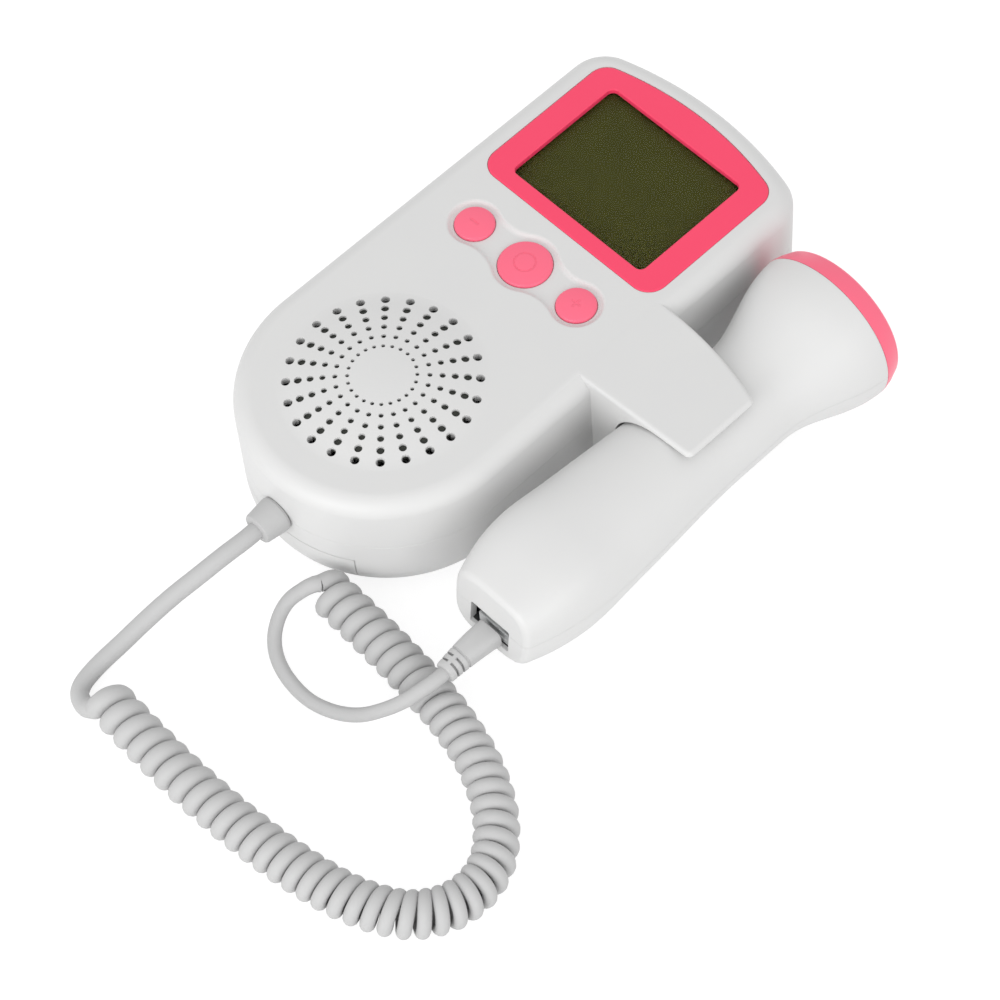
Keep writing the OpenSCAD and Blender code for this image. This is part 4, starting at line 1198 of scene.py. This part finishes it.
@dataclass
class Boot:
    """The moulded boot behind the plug, with slots that let it bend."""

    start: float = -21.9
    length: float = 13.1
    width: float = 6.7
    height: float = 5.0
    tip_d: float = 5.1
    z: float = -3.15
    drop: float = 2.3
    shift: float = 1.0
    points: int = 48

    def ring(self, share: float, inset: float = 0) -> list[Vector]:
        """Returns the boot's section at a share of its length.

        Args:
            share: 0 at the plug and 1 at the lead.
            inset: how far the section is drawn in.

        Returns:
            Its points about the probe's axis.
        """
        g = share ** 1.2
        w = (self.width + (self.tip_d - self.width) * g) / 2 - inset
        h = (self.height + (self.tip_d - self.height) * g) / 2 - inset
        power = 2 / (4 - 2 * share)
        y, z = self.start - self.length * share, self.z - self.drop * share * share
        return [Vector((self.shift * (1 - share) + a, y, z + b)) for a, b in oval(w, h, power, self.points)]

    def build(self, looks: Finishes) -> bpy.types.Object:
        """Dresses the boot, with three rings of slots between bridges."""
        rings = [self.ring(k / 24 * 0.98) for k in range(25)]
        rings += [self.ring(0.98 + 0.02 * math.sin(a), 0.5 * (1 - math.cos(a))) for a in (0.5, 1.0, 1.57)]
        body = lofted(rings)
        for share, depth, bridge in ((0.645, 0.22, 0), (0.765, 0.85, 0.9), (0.88, 0.85, 0.9)):
            slot = lofted([self.ring(share - 0.022, -1), self.ring(share + 0.022, -1)])
            slot.take(lofted([self.ring(share - 0.05, depth), self.ring(share + 0.05, depth)]))
            if bridge:
                spine = block((-bridge / 2, -2, -8), (bridge, 4, 16))
                slot.take(spine.moved(self.shift * (1 - share), self.start - self.length * share, self.z))
            body.take(slot)
        body.moved(PROBE_X, 0, PROBE_Z)
        return Piece("lead_boot", body, Carrier.PROBE, Slot.CORD, looks.grey_pvc, ("plug_boot",), 35).done()


@dataclass
class Plug:
    """The clear telephone-type plug in the socket's mouth, and a black floor and side wall under it that paint the
    mouth's shade.
    """

    width: float = 9.2
    height: float = 4.4
    x: float = 0.9
    z: float = -3
    start: float = -20.9
    length: float = 15.4
    contact_step: float = 1.27
    mouth_floor: float = MOUTH_MID_Z - MOUTH_H / 2
    mouth_y: float = -20.85

    def build(self, looks: Finishes) -> bpy.types.Object:
        """Dresses the plug's body, with its contact slots, and the black floor and wall of painted shade."""
        body = block((self.x - self.width / 2, self.start, self.z - self.height / 2),
                     (self.width, self.length, self.height))
        body.soften(0.3, 3, lambda p: True)
        for k in range(6):
            x = self.x + (k - 2.5) * self.contact_step
            body.take(block((x - 0.3, self.start + self.length - 4.2, self.z + self.height / 2 - 1.2), (0.6, 3.4, 2)))
        for y in (0.5, 1.75):
            body.add(block((self.x - 2.9, self.start + y, self.z + self.height / 2 - 0.1), (5.8, 0.75, 0.6)).soften(
                0.2, 3, lambda p: True))
        # A black floor and right-hand wall laid just inside the mouth: painted shade, so that the gap beside the plug
        # reads black
        floor = block((-MOUTH_W / 2 + 0.02, self.mouth_y, self.mouth_floor + 0.02), (MOUTH_W - 0.04, 2, 0.35))
        wall = block((MOUTH_W / 2 - 0.35, self.mouth_y, self.mouth_floor + 0.02), (0.33, 2, 6.9))
        floor.add(wall)
        Piece("socket_floor_painted_shade", floor.moved(PROBE_X, 0, PROBE_Z), Carrier.PROBE, Slot.CONE, looks.black_pbt_and_painted_shade, ()).done()
        return Piece("plug_clear", body.moved(PROBE_X, 0, PROBE_Z), Carrier.PROBE, Slot.PLUG, looks.polycarbonate,
                     ("plug_body",)).done()


@dataclass
class CurlyLead:
    """The lead: straight from the collar, curled beside the case, and looped up to the plug."""

    wall_y: float = -33.5
    seam: float = SEAM_Z
    lead_d: float = 4.2
    loop_d: float = 3.6
    end_d: float = 3.3
    joint_grow: float = 0.35
    wire_share: float = 0.955
    first_groove: float = 3.2
    last_groove: float = 186.8
    line_length: float = 202
    mid_start: tuple[float, float] = (2.8, -87.9)
    heads: PairList = ((0, -4), (12, -3), (26, 0), (40, 3), (54, 7), (68, 13), (82, 30), (90, 55), (112, 129),
                       (122, 146), (137, 164), (152, 173), (172, 177), (192, 178))
    pitches: PairList = ((3.2, 4.95), (5, 4.9), (15, 4.5), (28, 4.5), (37, 4.2), (50, 3.9), (65, 3.7), (83, 3.5),
                         (90, 3.3), (98, 3.3), (106, 3.5), (116, 3.9), (135, 3.9), (144, 3.7), (165, 4.0),
                         (185, 4.3))
    widths: PairList = ((0, 10.8), (20, 10.8), (90, 10.8), (104, 10.3), (140, 10.2), (155, 10.7), (190, 10.8))
    curls: int = 48
    start: tuple = ((0, -39.2, 17.4), (0, -43.5, 17.4), (-0.8, -49, 16.5), (-2.2, -55.5, 14.2), (-4.1, -62.5, 11),
                    (-5.6, -69.5, 7.6), (-6.5, -76, 4.9), (-6.95, -80.8, 3.5), (-6.95, -84.4, 2.7),
                    (-6.4, -87.9, 2.25), (-5.0, -90.2, 2.15), (-2.9, -91.2, 2.3), (-0.7, -91.5, 3.1))
    loop: tuple = ((14.0, -39.9, 8.2), (12.95, -43.6, 6.7), (13.6, -47.4, 5.0), (16.1, -51.3, 3.4),
                   (20.3, -54.2, 2.4), (26.0, -55.8, 1.85), (32.6, -56.0, 1.85), (38.9, -54.4, 2.7),
                   (44.4, -51.9, 5.1), (48.6, -48.6, 8.4), (51.6, -45.0, 11.3), (53.2, -41.2, 13.2),
                   (54.0, -37.8, 14.0), (54.1, -34.6, 14.0))
    per_curl: int = 32
    track: list[tuple[float, float, float]] = field(default_factory=list)

    def __post_init__(self) -> None:
        """Works out the curls' middle line, and how many curls lie before each place on it."""
        (x, y), turns, step = self.mid_start, 0.0, 0.25
        s = 0.0
        while s < self.line_length:
            self.track.append((x, y, turns))
            a = math.radians(lookup(s + step / 2, self.heads))
            x, y = x + step * math.cos(a), y + step * math.sin(a)
            turns += step / lookup(s + step / 2, self.pitches)
            s += step
        self.step = step
        self.first_top = self.first_groove - 0.5 * self.pitches[0][1]
        counted = self.at_place(self.last_groove)[2] - self.at_place(self.first_groove)[2]
        self.pace = (self.curls - 1) / counted

    def at_place(self, s: float) -> tuple[float, float, float]:
        """Returns x, y and the curls counted so far, at distance s along the middle line."""
        i = s / self.step
        k = max(0, min(int(math.floor(i)), len(self.track) - 2))
        a, b = self.track[k], self.track[k + 1]
        return tuple(p + (q - p) * (i - k) for p, q in zip(a, b))

    def curl_points(self) -> list[tuple[Vector, float]]:
        """Returns the wire's middle line through the curls, with its diameter at each point."""
        made, s = [], self.first_top - 0.25 * self.pitches[0][1]
        phase = -0.25
        while phase <= self.curls + 0.02:
            x, y, _ = self.at_place(s)
            head = math.radians(lookup(s, self.heads))
            pitch = lookup(s, self.pitches) / self.pace
            wire = self.wire_share * pitch
            outside = lookup(s, self.widths) / 2
            r = outside - wire / 2
            a = math.pi / 2 - math.tau * phase
            side = r * math.cos(a)
            made.append((Vector((x - math.sin(head) * side, y + math.cos(head) * side,
                                 outside + 0.05 + r * math.sin(a))), wire))
            phase += 1 / self.per_curl
            s += pitch / self.per_curl
        return made

    def smooth(self, points: Sequence[Vector], steps: int) -> list[Vector]:
        """Runs a smooth line through chosen points.

        Args:
            points: the chosen points.
            steps: the number of steps between two of them.

        Returns:
            The line's points, the last one included.
        """
        made = []
        for i in range(len(points) - 1):
            a, b, c, d = (points[min(max(k, 0), len(points) - 1)] for k in (i - 1, i, i + 1, i + 2))
            for k in range(steps):
                t = k / steps
                made.append(0.5 * (2 * b + (c - a) * t + (2 * a - 5 * b + 4 * c - d) * t * t
                                   + (3 * b - a - 3 * c + d) * t ** 3))
        return made + [Vector(points[-1])]

    def tube(self, name: str, line: Sequence[tuple[Vector, float]], looks: Finishes) -> bpy.types.Object:
        """Draws a round wire of changing diameter along a line.

        Args:
            name: the piece's name.
            line: points and diameters, in millimetres.
            looks: the finishes.

        Returns:
            The curve, in the part's frame.
        """
        data = bpy.data.curves.new(name, "CURVE")
        data.dimensions, data.bevel_depth, data.bevel_resolution = "3D", 0.0005, 5
        data.use_fill_caps = True
        spline = data.splines.new("POLY")
        spline.points.add(len(line) - 1)
        for point, (place, wire) in zip(spline.points, line):
            point.co, point.radius = (*row_point(*place), 1), wire
        spline.use_smooth = True
        data.materials.append(looks.grey_pvc)
        obj = put(name, data)
        return obj

    def length(self, line: Sequence[tuple[Vector, float]]) -> float:
        """Returns a line's length in metres."""
        return sum((b[0] - a[0]).length for a, b in zip(line, line[1:])) / 1000

    def build(self, looks: Finishes, boot: bpy.types.Object, plug: bpy.types.Object) -> None:
        """Dresses the collar and both lengths of the lead."""
        curls = self.curl_points()
        begin = [Vector(p) for p in self.start]
        ahead = curls[0][0], curls[3][0]
        run = self.smooth([*begin, *ahead], 8)[:-8]
        wires = [self.lead_d + (curls[0][1] - self.lead_d) * max(0, i - len(run) + 24) / 24 for i in range(len(run))]
        last, along = curls[-1][0], (curls[-1][0] - curls[-3][0]).normalized()
        joint = last + along * 1.4
        line = [*zip(run[:-1], wires), *curls, (joint, self.loop_d + self.joint_grow)]
        body = self.tube("lead_curls", line, looks)
        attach(body, Carrier.UNIT.value)
        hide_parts("cord_lead_body", "cord_coil")
        round(self.length(line), 2)
        self.collar(looks)
        LOG.info("lead and curls: %.3f m", self.length(line))

        after = joint + along * 1.1 + Vector((-0.35, 0, -0.05))
        route = self.smooth([joint, after, *[Vector(p) for p in self.loop]], 8)
        n = len(route) - 1
        loop = [(p, self.end_d + (self.loop_d + self.joint_grow - self.end_d) * max(0, 1 - i / (0.35 * n)) ** 2)
                for i, p in enumerate(route)]
        curve = self.tube("lead_loop_line", loop, looks)
        mesh = bpy.data.meshes.new_from_object(curve.evaluated_get(bpy.context.evaluated_depsgraph_get()))
        bpy.data.objects.remove(curve)
        piece = put("lead_loop", mesh)
        mesh.materials.clear()
        mesh.materials.append(looks.grey_pvc)
        mesh.shade_smooth()
        mesh.set_sharp_from_angle(angle=math.radians(50))
        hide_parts("cord_lead_probe")
        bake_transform(piece)
        round(self.length(loop), 3)
        LOG.info("looped lead: %.3f m", self.length(loop))

    def collar(self, looks: Finishes) -> bpy.types.Object:
        """Dresses the collar at the case's wall, with its foot through the wall."""
        y = -self.wall_y
        section = [(0, -y - 6.5), (3.2, -y - 6.5), (3.6, -y - 6.35), (3.8, -y - 6.0), (4.36, -y - 1.6),
                   (4.4, -y - 1.2), (4.4, -y - 0.6), (4.15, -y - 0.45), (4.15, -y - 0.1), (3.1, -y - 0.1),
                   (3.1, -y + 2.6), (4.2, -y + 2.6), (4.2, -y + 3.7), (0, -y + 3.7)]
        solid = along_y(turned(section, 72)).moved(0, 0, self.seam)
        return Piece("lead_collar", solid, Carrier.UNIT, Slot.CORD, looks.grey_pvc, ("strain_relief",), 35).done()


class InnerPieces:
    """The CAD pieces that stay in view through the window, the holes and the open battery bay."""

    def __init__(self, looks: Finishes) -> None:
        """Chooses a finish for each node."""
        self.finish = {
            "display_window": looks.acrylic, "display_panel": looks.lcd_glass, "display_frame": looks.white_carrier,
            "zebra_strip": looks.zebra, "main_board": looks.board, "board_screws": looks.steel,
            "keypad_mat": looks.silicone, "speaker_frame": looks.steel, "speaker_cone": looks.paper_cone,
            "speaker_magnet": looks.steel, "battery_left": looks.sleeve, "battery_right": looks.sleeve,
            "battery_contacts": looks.steel, "battery_springs": looks.steel, "case_screws": looks.steel,
            "plug_latch": looks.polycarbonate,
            "transducer_holder": looks.white_carrier, "transducer_elements": looks.ceramic,
            "probe_board": looks.board, "probe_jack": looks.black_pbt_and_painted_shade}

    def build(self) -> None:
        """Gives each node its finish."""
        for name, material in self.finish.items():
            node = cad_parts[name]
            if not node.material_slots:
                node.data.materials.append(material)
            for place in node.material_slots:
                place.material = material
            LOG.info("%s keeps its CAD shape", name)


# ---------------------------------------------------------------- studio


def way(azimuth: float, elevation: float) -> Vector:
    """Returns the direction from the object to a place round it, from angles in radians."""
    return Vector((math.sin(azimuth) * math.cos(elevation), -math.cos(azimuth) * math.cos(elevation),
                   math.sin(elevation)))


@dataclass(frozen=True)
class Lamp:
    """A soft box, placed by its direction from the object."""

    name: str
    azimuth: float
    elevation: float
    distance: float
    size: float
    watts: float

    def hang(self) -> None:
        """Hangs the lamp and turns it to the object."""
        data = bpy.data.lights.new(self.name, "AREA")
        data.shape, data.size, data.energy = "DISK", self.size, self.watts
        obj = put(self.name, data)
        away = way(math.radians(self.azimuth), math.radians(self.elevation))
        obj.location = away * self.distance
        obj.rotation_mode = "QUATERNION"
        obj.rotation_quaternion = away.to_track_quat("Z", "Y")


@dataclass(frozen=True)
class Studio:
    """The camera, the white table and the light."""

    azimuth: float = 50.1099
    elevation: float = 57.9461
    roll: float = -5.3018
    place: tuple[float, float, float] = (0.353111, -0.317563, 0.725005)
    lens: float = 136.772
    ambient: float = 0.84
    table_light: float = 0.8
    table_seen: float = 0.3
    table_glow: float = 0.82

    def camera(self) -> None:
        """Sets up the camera at the photograph's angle."""
        a, e, r = (math.radians(t) for t in (self.azimuth, self.elevation, self.roll))
        back = way(a, e)
        right = Vector((math.cos(a), math.sin(a), 0))
        up = back.cross(right)
        right, up = math.cos(r) * right + math.sin(r) * up, math.cos(r) * up - math.sin(r) * right
        data = bpy.data.cameras.new("camera")
        data.sensor_width, data.lens, data.clip_start, data.clip_end = 36, self.lens, 0.01, 20
        obj = put("camera", data)
        obj.matrix_world = Matrix.Translation(self.place) @ Matrix((right, up, back)).transposed().to_4x4()
        bpy.context.scene.camera = obj

    def table(self) -> None:
        """Lays the white table. What the camera sees of it is near white, and keeps the object's shadow."""
        shape = bmesh.new()
        bmesh.ops.create_grid(shape, x_segments=1, y_segments=1, size=3)
        mesh = bpy.data.meshes.new("table")
        shape.to_mesh(mesh)
        shape.free()
        obj = put("table", mesh)
        made = bpy.data.materials.new("white_table")
        made.use_nodes = True
        tree = made.node_tree
        tree.nodes.remove(tree.nodes["Principled BSDF"])
        seen = seen_rays(tree)
        matt = add_node(tree, "ShaderNodeBsdfDiffuse", {"Color": (*[self.table_light] * 3, 1)})
        pale = add_node(tree, "ShaderNodeBsdfDiffuse", {"Color": (*[self.table_seen] * 3, 1)})
        glow = add_node(tree, "ShaderNodeEmission", {"Strength": self.table_glow})
        white = add_node(tree, "ShaderNodeAddShader", {}, {0: pale.outputs[0], 1: glow.outputs[0]})
        mix = add_node(tree, "ShaderNodeMixShader", {}, {0: seen, 1: matt.outputs[0], 2: white.outputs[0]})
        tree.links.new(mix.outputs[0], tree.nodes["Material Output"].inputs["Surface"])
        mesh.materials.append(made)

    def sky(self) -> None:
        """Fills the room with even light, and shows white to the camera, to gloss and through clear pieces."""
        world = bpy.data.worlds.new("room")
        bpy.context.scene.world = world
        world.use_nodes = True
        tree = world.node_tree
        seen = seen_rays(tree)
        level = add_node(tree, "ShaderNodeMapRange", {"To Min": self.ambient, "To Max": 1.0}, {"Value": seen})
        tree.links.new(level.outputs["Result"], tree.nodes["Background"].inputs["Strength"])
        tree.nodes["Background"].inputs["Color"].default_value = (1, 1, 1, 1)

    def build(self) -> None:
        """Sets up the whole studio."""
        bpy.context.scene.view_settings.view_transform = "Standard"
        self.camera()
        self.table()
        self.sky()
        for lamp in (
            Lamp("soft_front", 20, 28, 0.9, 0.6, 1.75), Lamp("low_front", 0, 12, 0.9, 0.6, 1.5),
            Lamp("soft_right", 95, 30, 0.9, 0.6, 0.65), Lamp("low_right", 70, 12, 0.9, 0.6, 0.65)):
            lamp.hang()


def main() -> None:
    logging.basicConfig(level=logging.INFO, format="%(name)s: %(message)s")
    Studio().build()
    looks = Finishes()
    boot = Boot().build(looks)
    lead = CurlyLead()
    lead.build(looks, boot, Plug().build(looks))
    Case().build(looks)
    Bezel().build(looks)
    for button in (
            Button("key_down", "volume_down_button", Carrier.VOLUME_DOWN, Symbol.MINUS, -KEY_STEP, SMALL_KEY_D),
            Button("key_power", "power_button", Carrier.POWER, Symbol.RING, 0, POWER_KEY_D),
            Button("key_up", "volume_up_button", Carrier.VOLUME_UP, Symbol.PLUS, KEY_STEP, SMALL_KEY_D)):
        button.build(looks)
    Probe().build(looks)
    InnerPieces(looks).build()


if __name__ == "__main__":
    main()
